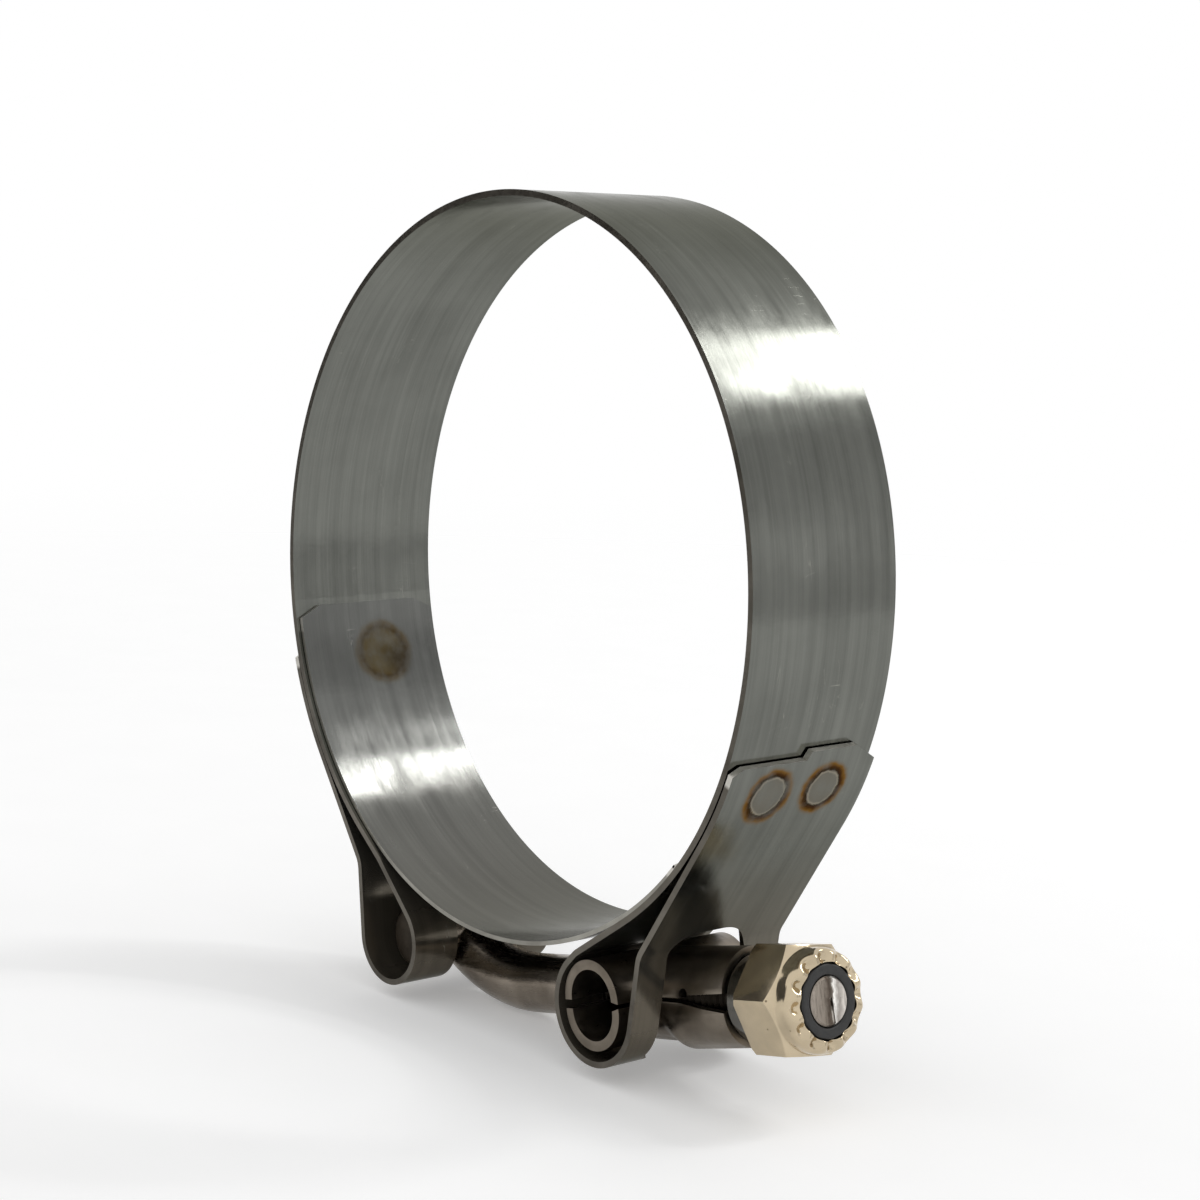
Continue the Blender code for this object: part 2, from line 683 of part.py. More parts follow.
def build_trunnion():
    """Two pressed shells that close round the shank: a barrel half and a sleeve half each."""
    frame = along_bolt(0)
    sleeve = add_cutter("sleeve", sleeve_mesh(0, 0), frame)
    hollow = barrel_mesh(BARREL_RADIUS - SHEET, barrel_length / 2 + CUT_MARGIN)
    barrel_hollow = add_cutter("barrel hollow", hollow, frame)
    bore = add_cutter("sleeve bore", sleeve_mesh(SHEET, CUT_MARGIN, BORE_EASE), frame)
    hole_length = BARREL_RADIUS + CUT_MARGIN
    hole = cylinder(SHANK_RADIUS + BORE_GAP, hole_length)
    hole.transform(Matrix.Translation((-hole_length / 2, 0, 0)) @ Matrix.Rotation(pi / 2, 4, "Y"))
    shade(hole)
    shank_hole = add_cutter("shank hole", hole, frame)
    notch = cylinder(RELIEF_RADIUS, 2 * (SLEEVE_HALF_WIDTH + CUT_MARGIN), SMALL_ROUND_STEPS)
    notch.transform(Matrix.Translation((RELIEF_POSITION, 0, RELIEF_RISE))
                    @ Matrix.Rotation(pi / 2, 4, "X"))
    shade(notch)
    relief = add_cutter("seam relief", notch, frame)

    material = steel("trunnion_steel", (0.30, 0.27, 0.24), 0.3)
    for name, side in (("trunnion_upper", 1), ("trunnion_lower", -1)):
        mesh = barrel_mesh(BARREL_RADIUS, barrel_length / 2)
        mesh.materials.append(material)
        shell = add_object(name, mesh, parts, frame)
        combine(shell, sleeve, "UNION")
        for cutter in (barrel_hollow, bore, shank_hole, relief, seam_cutter(side, frame)):
            combine(shell, cutter, "DIFFERENCE")


def build_nut():
    """The lock nut: a turned blank cut to a hexagon, with a dented lip over the nylon's pocket."""
    corner = NUT_FLATS / sqrt(3)
    over = corner + NUT_BASE_CHAMFER
    hex_top = NUT_COLLAR_LENGTH + NUT_HEX_LENGTH
    crown = arc(Vector((NUT_CROWN_RADIUS - NUT_CROWN_ROUND, nut_length - NUT_CROWN_ROUND)),
                NUT_CROWN_ROUND, pi / 2, 0, CROWN_STEP)
    profile = [(NUT_LIP_RADIUS, nut_length)]
    profile += [(point.x, point.y) for point in crown]
    profile += [(NUT_CROWN_RADIUS, hex_top), (corner - NUT_CORNER_CHAMFER, hex_top),
                (over, hex_top - NUT_CORNER_CHAMFER - NUT_BASE_CHAMFER),
                (over, NUT_COLLAR_LENGTH + 2 * NUT_BASE_CHAMFER),
                (corner - NUT_BASE_CHAMFER, NUT_COLLAR_LENGTH),
                (NUT_COLLAR_RADIUS, NUT_COLLAR_LENGTH), (NUT_COLLAR_RADIUS, NUT_COLLAR_CHAMFER),
                (NUT_COLLAR_RADIUS - NUT_COLLAR_CHAMFER, 0)]
    bore = SHANK_RADIUS + SEAT_GAP
    pocket = shank_end - nut_start
    profile += [(bore, 0), (bore, pocket), (NUT_POCKET_RADIUS, pocket),
                (NUT_POCKET_RADIUS, nut_length - NUT_LIP), (NUT_LIP_RADIUS, nut_length - NUT_LIP)]
    frame = turned_frame(nut_start)
    nut = turned_piece("lock_nut", profile, frame, NUT_STEPS)
    nut.data.materials.append(steel("nut_steel", (0.72, 0.66, 0.50), 0.16))

    prism = cylinder(corner, 2 * nut_length, steps=6)
    combine(nut, add_cutter("hexagon", prism, frame @ Matrix.Translation((0, 0, nut_length / 2))),
            "INTERSECT")

    dents = bmesh.new()
    height = nut_length + DENT_RADIUS - DENT_DEPTH
    for i in range(DENT_COUNT):
        turn = Matrix.Rotation(2 * pi * (i + 0.5) / DENT_COUNT, 4, "Z")
        place = turn @ Matrix.Translation((DENT_CIRCLE_RADIUS, 0, height))
        bmesh.ops.create_icosphere(dents, subdivisions=2, radius=DENT_RADIUS, matrix=place)
    mesh = bpy.data.meshes.new("lip dents")
    dents.to_mesh(mesh)
    dents.free()
    combine(nut, add_cutter("lip dents", mesh, frame), "DIFFERENCE")


def build_nylon_ring():
    """The nylon ring under the nut's lip, which grips the bolt's end."""
    low = shank_end - nut_start + NYLON_GAP
    high = nut_length - NUT_LIP - NYLON_GAP
    inner = PILOT_RADIUS + NYLON_GAP
    outer = NUT_POCKET_RADIUS - NYLON_GAP
    profile = [(inner, high), (outer, high), (outer, low), (inner, low)]
    ring = turned_piece("nylon_insert", profile, turned_frame(nut_start))
    ring.data.materials.append(steel("nylon", (0.03, 0.03, 0.03), 0.6, metallic=0.0))


clear_scene()
parts = new_collection("t_bolt_clamp")
cutters = new_collection("cutters")
world = Matrix.Identity(4)
build_band()
build_liner()
build_bolt()
build_trunnion()
build_nut()
build_nylon_ring()
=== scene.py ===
from math import acos, asin, atan2, ceil, cos, exp, pi, radians, sin, sqrt, tan
import bpy
import bmesh
from mathutils import Matrix, Vector


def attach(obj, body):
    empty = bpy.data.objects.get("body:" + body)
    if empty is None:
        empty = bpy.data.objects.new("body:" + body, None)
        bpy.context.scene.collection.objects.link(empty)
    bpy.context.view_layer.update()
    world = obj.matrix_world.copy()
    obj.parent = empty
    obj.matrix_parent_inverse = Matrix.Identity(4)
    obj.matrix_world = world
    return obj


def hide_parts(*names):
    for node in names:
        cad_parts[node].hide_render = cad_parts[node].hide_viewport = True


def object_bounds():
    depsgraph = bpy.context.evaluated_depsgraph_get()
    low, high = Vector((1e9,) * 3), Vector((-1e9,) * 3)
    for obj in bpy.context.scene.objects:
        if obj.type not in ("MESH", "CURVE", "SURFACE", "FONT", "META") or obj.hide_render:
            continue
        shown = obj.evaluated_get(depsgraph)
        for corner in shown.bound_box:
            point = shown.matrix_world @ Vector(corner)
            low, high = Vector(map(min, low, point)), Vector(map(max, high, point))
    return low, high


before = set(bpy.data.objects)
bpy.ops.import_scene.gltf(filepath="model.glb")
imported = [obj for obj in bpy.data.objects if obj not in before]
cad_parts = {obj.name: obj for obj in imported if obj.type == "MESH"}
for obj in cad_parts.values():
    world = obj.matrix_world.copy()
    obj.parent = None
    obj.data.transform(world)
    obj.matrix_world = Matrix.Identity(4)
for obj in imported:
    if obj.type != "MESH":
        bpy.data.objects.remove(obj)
for name in ("Cube", "Camera", "Light"):
    if name in bpy.data.objects:
        bpy.data.objects.remove(bpy.data.objects[name], do_unlink=True)
cad_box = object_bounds()

# The studio: a small table of pale laminate in a white room, with two soft lamps behind the
# clamp's right side and a small one low down. Two cloths hang where only the metal reflects
# them, and the camera stands at the photograph's place.
scene = bpy.context.scene
scene.view_settings.view_transform = "Standard"


def linked(name, data):
    """A new object in the scene that carries this data."""
    made = bpy.data.objects.new(name, data)
    scene.collection.objects.link(made)
    return made


camera = linked("camera", bpy.data.cameras.new("camera"))
camera.data.lens = 77.26
camera.data.sensor_width = 36.0
camera.data.clip_start = 0.01
camera.matrix_world = Matrix(((0.649289, -0.130053, 0.749340, 0.205050),
                              (0.759780, 0.066835, -0.646736, -0.172310),
                              (0.034028, 0.989252, 0.142206, 0.035335),
                              (0, 0, 0, 1)))
scene.camera = camera


def shader_node(tree, kind, inputs=None, **settings):
    """Add a node, set its options, and give its sockets values or links."""
    made = tree.nodes.new(kind)
    for name, value in settings.items():
        setattr(made, name, value)
    for socket, value in (inputs or {}).items():
        if isinstance(value, bpy.types.NodeSocket):
            tree.links.new(value, made.inputs[socket])
        else:
            made.inputs[socket].default_value = value
    return made


def new_material(name):
    """A material without nodes, its node tree and the place on the piece that is shaded."""
    made = bpy.data.materials.new(name)
    made.use_nodes = True
    tree = made.node_tree
    tree.nodes.clear()
    return made, tree, shader_node(tree, "ShaderNodeTexCoord").outputs["Object"]


def surface(tree, shader):
    shader_node(tree, "ShaderNodeOutputMaterial", {"Surface": shader.outputs[0]})


def product(tree, a, b, operation="MULTIPLY"):
    return shader_node(tree, "ShaderNodeMath", {0: a, 1: b}, operation=operation).outputs[0]


def spread(tree, value, low, high, to_low=0.0, to_high=1.0):
    """A value carried from one range to another, held at both ends."""
    made = shader_node(tree, "ShaderNodeMapRange", {"Value": value, "From Min": low,
                                                    "From Max": high, "To Min": to_low,
                                                    "To Max": to_high})
    return made.outputs[0]


def noise(tree, place, scale, detail=3.0, roughness=0.5):
    made = shader_node(tree, "ShaderNodeTexNoise", {"Vector": place, "Scale": scale,
                                                    "Detail": detail, "Roughness": roughness})
    return made.outputs["Fac"]


def grey_of(tree, value):
    return shader_node(tree, "ShaderNodeCombineColor", {0: value, 1: value, 2: value}).outputs[0]


def seen_directly(tree):
    """1 for what the camera sees, straight or by way of metal or glass, and 0 for other light."""
    rays = shader_node(tree, "ShaderNodeLightPath").outputs
    seen = product(tree, rays["Is Camera Ray"], rays["Is Glossy Ray"], "ADD")
    return shader_node(tree, "ShaderNodeMath", {0: seen, 1: rays["Is Transmission Ray"]},
                       operation="ADD", use_clamp=True).outputs[0]


def mesh_of(name, shape):
    """A mesh from a finished bmesh."""
    mesh = bpy.data.meshes.new(name)
    shape.to_mesh(mesh)
    shape.free()
    return mesh


ROOM_LIGHT = 0.75
room = bpy.data.worlds.new("white room")
scene.world = room
room.use_nodes = True
tree = room.node_tree
tree.nodes.clear()
lit, white = [shader_node(tree, "ShaderNodeBackground",
                          {"Color": (1, 1, 1, 1), "Strength": strength}).outputs[0]
              for strength in (ROOM_LIGHT, 1.0)]
mixed = shader_node(tree, "ShaderNodeMixShader", {0: seen_directly(tree), 1: lit, 2: white})
shader_node(tree, "ShaderNodeOutputWorld", {"Surface": mixed.outputs[0]})

TABLE_RADIUS = 0.9
TABLE_FADE = (0.12, 0.6)
TABLE_LIFT = 0.22
table_height = cad_box[0][2] - 0.0002
shape = bmesh.new()
bmesh.ops.create_circle(shape, cap_ends=True, segments=96, radius=TABLE_RADIUS)
table_mesh = mesh_of("table", shape)
table_mesh.transform(Matrix.Translation((0, 0, table_height)))
table = linked("table", table_mesh)
laminate, tree, place = new_material("pale laminate")
away = shader_node(tree, "ShaderNodeVectorMath", {0: place}, operation="LENGTH")
fade = shader_node(tree, "ShaderNodeMapRange",
                   {"Value": away.outputs["Value"], "From Min": TABLE_FADE[0],
                    "From Max": TABLE_FADE[1], "To Min": 0.0, "To Max": 1.0},
                   interpolation_type="SMOOTHSTEP")
tone = spread(tree, noise(tree, place, 90.0), 0.0, 1.0, 0.86, 0.89)
top = shader_node(tree, "ShaderNodeBsdfDiffuse", {"Color": grey_of(tree, tone)})
lift = product(tree, seen_directly(tree), TABLE_LIFT)
paler = shader_node(tree, "ShaderNodeEmission", {"Strength": lift})
top = shader_node(tree, "ShaderNodeAddShader", {0: top.outputs[0], 1: paler.outputs[0]})
clear = shader_node(tree, "ShaderNodeBsdfTransparent")
surface(tree, shader_node(tree, "ShaderNodeMixShader",
                          {0: fade.outputs[0], 1: top.outputs[0], 2: clear.outputs[0]}))
table_mesh.materials.append(laminate)


def hung_cloth(name, azimuth, distance, width, height, darkest, lightest):
    """A cloth that hangs down to the table, seen only as a reflection in the metal."""
    shape = bmesh.new()
    bmesh.ops.create_grid(shape, x_segments=1, y_segments=1, size=0.5)
    mesh = mesh_of(name, shape)
    mesh.transform(Matrix.Rotation(radians(azimuth), 4, "Z")
                   @ Matrix.Translation((distance, 0, table_height + height / 2))
                   @ Matrix.Rotation(-pi / 2, 4, "Y") @ Matrix.Diagonal((height, width, 1, 1)))
    cloth = linked(name, mesh)
    for way in ("visible_camera", "visible_diffuse", "visible_transmission", "visible_shadow"):
        setattr(cloth, way, False)
    felt, tree, place = new_material(name)
    tone = spread(tree, noise(tree, place, 14.0), 0.3, 0.7, darkest, lightest)
    surface(tree, shader_node(tree, "ShaderNodeBsdfDiffuse", {"Color": grey_of(tree, tone)}))
    mesh.materials.append(felt)


hung_cloth("dark cloth", 212, 0.45, 0.62, 0.36, 0.07, 0.14)
hung_cloth("grey cloth", 42, 0.37, 0.62, 0.27, 0.90, 1.0)


def soft_lamp(name, towards, distance, width, height, power, tilt=0.0):
    """A soft box that faces the clamp from the given direction, turned about its own middle."""
    lamp = bpy.data.lights.new(name, "AREA")
    lamp.shape = "RECTANGLE"
    lamp.size = width
    lamp.size_y = height
    lamp.energy = power
    holder = linked(name, lamp)
    direction = Vector(towards).normalized()
    holder.location = direction * distance
    facing = direction.to_track_quat("Z", "Y").to_matrix() @ Matrix.Rotation(tilt, 3, "Z")
    holder.rotation_euler = facing.to_euler()


soft_lamp("key lamp", (0.297, 0.707, 0.642), 1.0, 0.30, 0.115, 1.15, radians(20))
soft_lamp("high lamp", (0.251, 0.592, 0.766), 1.0, 0.19, 0.045, 0.75, radians(52))
soft_lamp("low lamp", (0.80, 0.57, 0.14), 0.75, 0.06, 0.12, 0.13)

# The band: one strip of stainless spring steel, slotted flat, bent into the ring and its two
# loops, and spot welded to itself with two welds on each side. It is laid out flat with a map of
# its length and width, then a node tree bends it round the path, as the bending tool would.
STRIP_WIDTH = 0.01905
STRIP_THICKNESS = 0.000635
RING_RADIUS = 0.03838
RING_OVAL = 0.00083
RING_OVAL_ANGLE = radians(-17)
RING_SAG = 0.0007
RING_SAG_ANGLE = radians(54)
RING_SAG_WIDTH = radians(30)
LAYER_GAP = 0.00008
BEND_RADIUS = 0.003
LEFT_BORE = 0.004425
RIGHT_BORE = 0.0053
LEFT_OVERLAP = 0.0129
RIGHT_OVERLAP = 0.0098
LEFT_PITCH = STRIP_THICKNESS + LAYER_GAP
RIGHT_PITCH = STRIP_THICKNESS + 0.0002
LEFT_LOOP = (-0.01719, 0.00749)
RIGHT_LOOP = (0.01745, 0.00669)
strip_mid_radius = RING_RADIUS - STRIP_THICKNESS / 2
left_loop_mid = LEFT_BORE + STRIP_THICKNESS / 2
right_loop_mid = RIGHT_BORE + STRIP_THICKNESS / 2


def beside_ring(x, standoff):
    """A point below the ring, at that distance outside it."""
    return Vector((x, -sqrt((RING_RADIUS + standoff) ** 2 - x ** 2)))


left_loop = beside_ring(*LEFT_LOOP)
right_loop = beside_ring(*RIGHT_LOOP)


def heading_vector(heading):
    return Vector((cos(heading), sin(heading)))


def arc(centre, radius, start, end, step):
    count = max(1, ceil(abs(end - start) / step))
    angles = [start + (end - start) * i / count for i in range(count + 1)]
    return [centre + radius * heading_vector(angle) for angle in angles]


def ring_point(angle, offset=0.0):
    """A point of the oval ring's middle line, angles counted from the bottom towards the nut."""
    radius = strip_mid_radius + offset + RING_OVAL * cos(2 * (angle - RING_OVAL_ANGLE))
    away = ((angle - RING_SAG_ANGLE + pi) % (2 * pi) - pi) / RING_SAG_WIDTH
    radius += RING_SAG * exp(-away * away)
    return Vector((radius * sin(angle), -radius * cos(angle)))


def ring_heading(angle, offset=0.0):
    step = radians(0.1)
    along = ring_point(angle + step, offset) - ring_point(angle - step, offset)
    return atan2(along.y, along.x)


def ring_arc(start, end, offset=0.0):
    count = ceil(abs(end - start) / radians(1))
    return [ring_point(start + (end - start) * i / count, offset) for i in range(count + 1)]


def bend(corner, heading_in, heading_out):
    turn = (heading_out - heading_in + pi) % (2 * pi) - pi
    side = 1 if turn > 0 else -1
    start = corner - heading_vector(heading_in) * BEND_RADIUS * tan(abs(turn) / 2)
    centre = start + BEND_RADIUS * heading_vector(heading_in + side * pi / 2)
    first = heading_in - side * pi / 2
    return arc(centre, BEND_RADIUS, first, first + turn, radians(4))


def strap(loop, loop_mid, side, is_outer, reach, bend_angle):
    """Where a strap leaves the ring to meet its loop: ring angle, corner and both headings."""
    offset = (RIGHT_PITCH if side > 0 else LEFT_PITCH) if is_outer else 0.0
    wall = -side if is_outer else side
    near = atan2(loop.x, -loop.y)
    far = near + side * radians(60)
    for _ in range(50):
        angle = (near + far) / 2
        along_ring = ring_heading(angle, offset) + (pi if side > 0 else 0)
        corner = ring_point(angle, offset) + reach * heading_vector(along_ring)
        along_loop = along_ring + side * bend_angle
        aside = wall * heading_vector(along_loop).cross(loop - corner)
        if (aside > loop_mid) != is_outer:
            near = angle
        else:
            far = angle
    return angle, corner, along_ring, along_loop


def loop_arc(centre, radius, heading_in, heading_out):
    start = heading_in - pi / 2
    return arc(centre, radius, start, start + (heading_out - heading_in) % (2 * pi), radians(3))


# How far each strap runs straight off the ring, and how much it is then bent to its loop
LEFT_OUTER_BEND = (0.0135, radians(28.7))
LEFT_INNER_BEND = (0.00425, radians(6))
RIGHT_INNER_BEND = (0.00815, radians(12))
RIGHT_OUTER_BEND = (0.01525, radians(25.7))
left_outer = strap(left_loop, left_loop_mid, -1, True, *LEFT_OUTER_BEND)
left_inner = strap(left_loop, left_loop_mid, -1, False, *LEFT_INNER_BEND)
right_inner = strap(right_loop, right_loop_mid, 1, False, *RIGHT_INNER_BEND)
right_outer = strap(right_loop, right_loop_mid, 1, True, *RIGHT_OUTER_BEND)
left_end = left_outer[0] - LEFT_OVERLAP / RING_RADIUS
right_end = right_outer[0] + RIGHT_OVERLAP / RING_RADIUS

path = ring_arc(left_end, left_outer[0], LEFT_PITCH)
path += bend(left_outer[1], left_outer[2], left_outer[3])
path += loop_arc(left_loop, left_loop_mid, left_outer[3], left_inner[3] + pi)
path += bend(left_inner[1], left_inner[3] + pi, left_inner[2] + pi)
path += ring_arc(left_inner[0], right_inner[0] - 2 * pi)
path += bend(right_inner[1], right_inner[2], right_inner[3])
path += loop_arc(right_loop, right_loop_mid, right_inner[3], right_outer[3] + pi)
path += bend(right_outer[1], right_outer[3] + pi, right_outer[2] + pi)
path += ring_arc(right_outer[0], right_end, RIGHT_PITCH)


def stations(points):
    run = [0.0]
    for a, b in zip(points, points[1:]):
        run.append(run[-1] + (b - a).length)
    return run


def distance_along(points, run, target, after=0.0):
    """How far along a line its nearest point to a target lies."""
    best = None
    for i, (a, b) in enumerate(zip(points, points[1:])):
        if run[i] < after:
            continue
        edge = b - a
        share = min(1.0, max(0.0, (target - a).dot(edge) / edge.length_squared))
        miss = (target - a - edge * share).length
        if best is None or miss < best[0]:
            best = (miss, run[i] + share * edge.length)
    return best[1]


def drawn(curve, spots, closed=False):
    """Add one straight-sided line through the spots to a curve."""
    spline = curve.splines.new("POLY")
    spline.points.add(len(spots) - 1)
    for point, spot in zip(spline.points, spots):
        point.co = (*spot, 1.0)
    spline.use_cyclic_u = closed
    return spline


def evaluated(piece):
    """A piece's mesh with its modifiers at work."""
    bpy.context.view_layer.update()
    graph = bpy.context.evaluated_depsgraph_get()
    return bpy.data.meshes.new_from_object(piece.evaluated_get(graph))


def taken(piece):
    """The same mesh, with the piece itself taken away."""
    mesh = evaluated(piece)
    bpy.data.objects.remove(piece, do_unlink=True)
    return mesh


def flat_blank(name, outlines, folds):
    """A flat sheet cut to its outlines and creased at every fold, with its own map in metres."""
    curve = bpy.data.curves.new(name, "CURVE")
    curve.dimensions = "2D"
    curve.fill_mode = "BOTH"
    for outline in outlines:
        drawn(curve, [(x, y, 0.0) for x, y in outline], closed=True)
    mesh = taken(linked(name, curve))
    shape = bmesh.new()
    shape.from_mesh(mesh)
    bmesh.ops.remove_doubles(shape, verts=shape.verts, dist=1e-7)
    tiny = 5e-7
    for fold in folds:
        everything = shape.verts[:] + shape.edges[:] + shape.faces[:]
        bmesh.ops.bisect_plane(shape, geom=everything, dist=tiny, plane_co=(fold, 0, 0),
                               plane_no=(1, 0, 0))
    inside = []
    for edge in shape.edges:
        a, b = (vert.co.x for vert in edge.verts)
        on_fold = abs(a - b) < 2 * tiny and min(abs(a - fold) for fold in folds) < 2 * tiny
        if len(edge.link_faces) == 2 and not on_fold:
            inside.append(edge)
    bmesh.ops.dissolve_edges(shape, edges=inside, use_verts=False)
    spare = [vert for vert in shape.verts if len(vert.link_edges) == 2
             and all(len(edge.link_faces) == 2 for edge in vert.link_edges)]
    bmesh.ops.dissolve_verts(shape, verts=spare)
    bmesh.ops.recalc_face_normals(shape, faces=shape.faces)
    layer = shape.loops.layers.uv.new("strip")
    for face in shape.faces:
        for corner in face.loops:
            corner[layer].uv = (corner.vert.co.x, corner.vert.co.y)
    shape.to_mesh(mesh)
    shape.free()
    return mesh


def geometry_group(name, inputs, output):
    """A geometry node group with named inputs and one output, and what its inputs give."""
    group = bpy.data.node_groups.new(name, "GeometryNodeTree")
    for label, kind in inputs:
        group.interface.new_socket(label, in_out="INPUT", socket_type="NodeSocket" + kind)
    group.interface.new_socket(output, in_out="OUTPUT", socket_type="NodeSocketGeometry")
    return group, shader_node(group, "NodeGroupInput").outputs


def handed_out(group, geometry, material, output):
    """End a node group: make its result real, give it its material and hand it out."""
    real = shader_node(group, "GeometryNodeRealizeInstances", {0: geometry})
    painted = shader_node(group, "GeometryNodeSetMaterial", {"Geometry": real.outputs[0],
                                                             "Material": material})
    shader_node(group, "NodeGroupOutput", {output: painted.outputs[0]})
    return group


def bending_tree():
    """Nodes that wrap a flat blank round a line: its X becomes length, its Y stays width."""
    group, given = geometry_group("bend round a line", [("Blank", "Geometry"), ("Line", "Object"),
                                                        ("Steel", "Material")], "Bent")
    line_of = shader_node(group, "GeometryNodeObjectInfo", {"Object": given["Line"]})
    where = shader_node(group, "GeometryNodeInputPosition")
    parts = shader_node(group, "ShaderNodeSeparateXYZ", {0: where.outputs[0]})
    sample = shader_node(group, "GeometryNodeSampleCurve", mode="LENGTH", use_all_curves=False)
    group.links.new(line_of.outputs["Geometry"], sample.inputs["Curves"])
    group.links.new(parts.outputs["X"], sample.inputs["Length"])
    across = shader_node(group, "ShaderNodeCombineXYZ", {"Y": parts.outputs["Y"]})
    put = shader_node(group, "ShaderNodeVectorMath", {0: sample.outputs["Position"],
                                                      1: across.outputs[0]}, operation="ADD")
    moved = shader_node(group, "GeometryNodeSetPosition", {"Geometry": given["Blank"],
                                                           "Position": put.outputs[0]})
    return handed_out(group, moved.outputs[0], given["Steel"], "Bent")


def worked_by(piece, group, values):
    """Put a node group on a piece and give its named inputs their values."""
    modifier = piece.modifiers.new(group.name, "NODES")
    modifier.node_group = group
    for item in group.interface.items_tree:
        if item.item_type == "SOCKET" and item.in_out == "INPUT" and item.name in values:
            modifier[item.identifier] = values[item.name]


def rounded(piece, width, segments, angle):
    """Round a piece's edges where they turn by more than an angle."""
    rounding = piece.modifiers.new("rounded edges", "BEVEL")
    rounding.width = width
    rounding.segments = segments
    rounding.limit_method = "ANGLE"
    rounding.angle_limit = radians(angle)
    return rounding


def bent_sheet(name, blank, points, thickness, edge, material, cut_edge):
    """Bend a flat blank round a line, give it its thickness and round its sheared edges."""
    line = bpy.data.curves.new(name + " line", "CURVE")
    line.dimensions = "3D"
    drawn(line, [(spot.x, 0, spot.y) for spot in points])
    guide = linked(name + " line", line)
    piece = linked(name, blank)
    worked_by(piece, bending_tree(), {"Line": guide, "Steel": material})
    bent = evaluated(piece)
    piece.modifiers.clear()
    piece.data = bent
    bpy.data.objects.remove(guide, do_unlink=True)
    bent.shade_smooth()
    bent.materials.append(cut_edge)
    sheet = piece.modifiers.new("sheet", "SOLIDIFY")
    sheet.thickness = thickness
    sheet.offset = 0
    sheet.use_even_offset = True
    sheet.material_offset_rim = 1
    rounded(piece, edge, 2, 50).harden_normals = True
    return piece


SHANK_RADIUS = 0.003175
BOLT_PITCH = radians(11.65)
BARREL_HALF_HEIGHT = 0.0046
BARREL_RADIUS = 0.00405
BARREL_RISE = 0.00027
BARREL_SEAT = 0.0004
SLEEVE_HALF_WIDTH = 0.0044
SHANK_SLOT_MARGIN = 0.0006
SLOT_FRONT_ROOM = 0.0015
SLOT_BACK_ROOM = 0.00035
SLOT_RISE = 0.005 + 0.0055
SLOT_CORNER = 0.0028
SLOT_CROWN = 0.0044
bolt_along = Vector((cos(BOLT_PITCH), sin(BOLT_PITCH)))
bolt_up = Vector((-sin(BOLT_PITCH), cos(BOLT_PITCH)))
arc_offset = BARREL_HALF_HEIGHT - BARREL_RADIUS
seat_pull = sqrt((arc_offset + BARREL_SEAT) ** 2 - (arc_offset + BARREL_RISE) ** 2)
barrel_centre = right_loop + BARREL_RISE * bolt_up - seat_pull * bolt_along

run = stations(path)


def round_loop(loop, radius, angle):
    """How far along the strip the place at an angle of one of its loops lies."""
    return distance_along(path, run, loop + radius * heading_vector(angle))


narrow = SHANK_RADIUS + SHANK_SLOT_MARGIN
left_low = round_loop(left_loop, left_loop_mid, radians(290))
left_high = round_loop(left_loop, left_loop_mid, radians(385))
rise = asin((BARREL_RISE + narrow) / RIGHT_BORE)
hole = round_loop(right_loop, right_loop_mid, BOLT_PITCH + pi - rise) + narrow
sleeve_low = round_loop(right_loop, right_loop_mid, radians(287))
out = right_loop.x + right_loop_mid - barrel_centre.x
above = barrel_centre + out * bolt_along + SLOT_RISE * bolt_up
sleeve_high = distance_along(path, run, above, sleeve_low)

fine = radians(5)
shank_slot = (arc(Vector((left_high, 0)), narrow, -pi / 2, pi / 2, fine)
              + arc(Vector((left_low, 0)), narrow, pi / 2, 3 * pi / 2, fine))
front = -SLEEVE_HALF_WIDTH - SLOT_FRONT_ROOM
back = SLEEVE_HALF_WIDTH + SLOT_BACK_ROOM
r = SLOT_CORNER
crown = SLOT_CROWN
front_turn = asin(max(0.0, (narrow + front + r) / r))
back_turn = asin(max(0.0, (narrow - back + r) / r))
sleeve_slot = arc(Vector((hole, 0)), narrow, pi / 2, 3 * pi / 2, fine)
sleeve_slot += arc(Vector((sleeve_low + r, front + r)), r, pi + front_turn, 3 * pi / 2, fine)
sleeve_slot += arc(Vector((sleeve_high - r, front + r)), r, -pi / 2, 0, fine)
sleeve_slot += arc(Vector((sleeve_high - crown, back - crown)), crown, 0, pi / 2, fine)
sleeve_slot += arc(Vector((sleeve_low + r, back - r)), r, pi / 2, pi - back_turn, fine)

# Both ends are cut alike: a chamfer in front, a step in the middle, a longer chamfer behind
w = STRIP_WIDTH / 2
length = run[-1]
END_STEP = 0.0009
FRONT_CHAMFER = (0.0007, 0.0012)
BACK_CHAMFER = (0.0017, 0.003)
shoulder = length - END_STEP
cut_end = [(shoulder - FRONT_CHAMFER[0], -w), (shoulder, -w + FRONT_CHAMFER[1]), (shoulder, 0),
           (length, 0.0004), (length, w - BACK_CHAMFER[1]), (length - BACK_CHAMFER[0], w)]
other_end = [(length - x, y) for x, y in reversed(cut_end)]
blank = flat_blank("band", [cut_end + other_end, shank_slot, sleeve_slot], run[1:-1])

WELD_SPACING = 0.0074
WELD_FROM_END = 0.00435
right_weld = right_end - WELD_FROM_END / RING_RADIUS
left_weld = left_end + WELD_FROM_END / RING_RADIUS
band_welds = []
for angle, pitch in ((right_weld, RIGHT_PITCH), (left_weld, LEFT_PITCH)):
    spot = ring_point(angle, pitch)
    band_welds += [(spot.x, -WELD_SPACING / 2, spot.y), (spot.x, WELD_SPACING / 2, spot.y)]


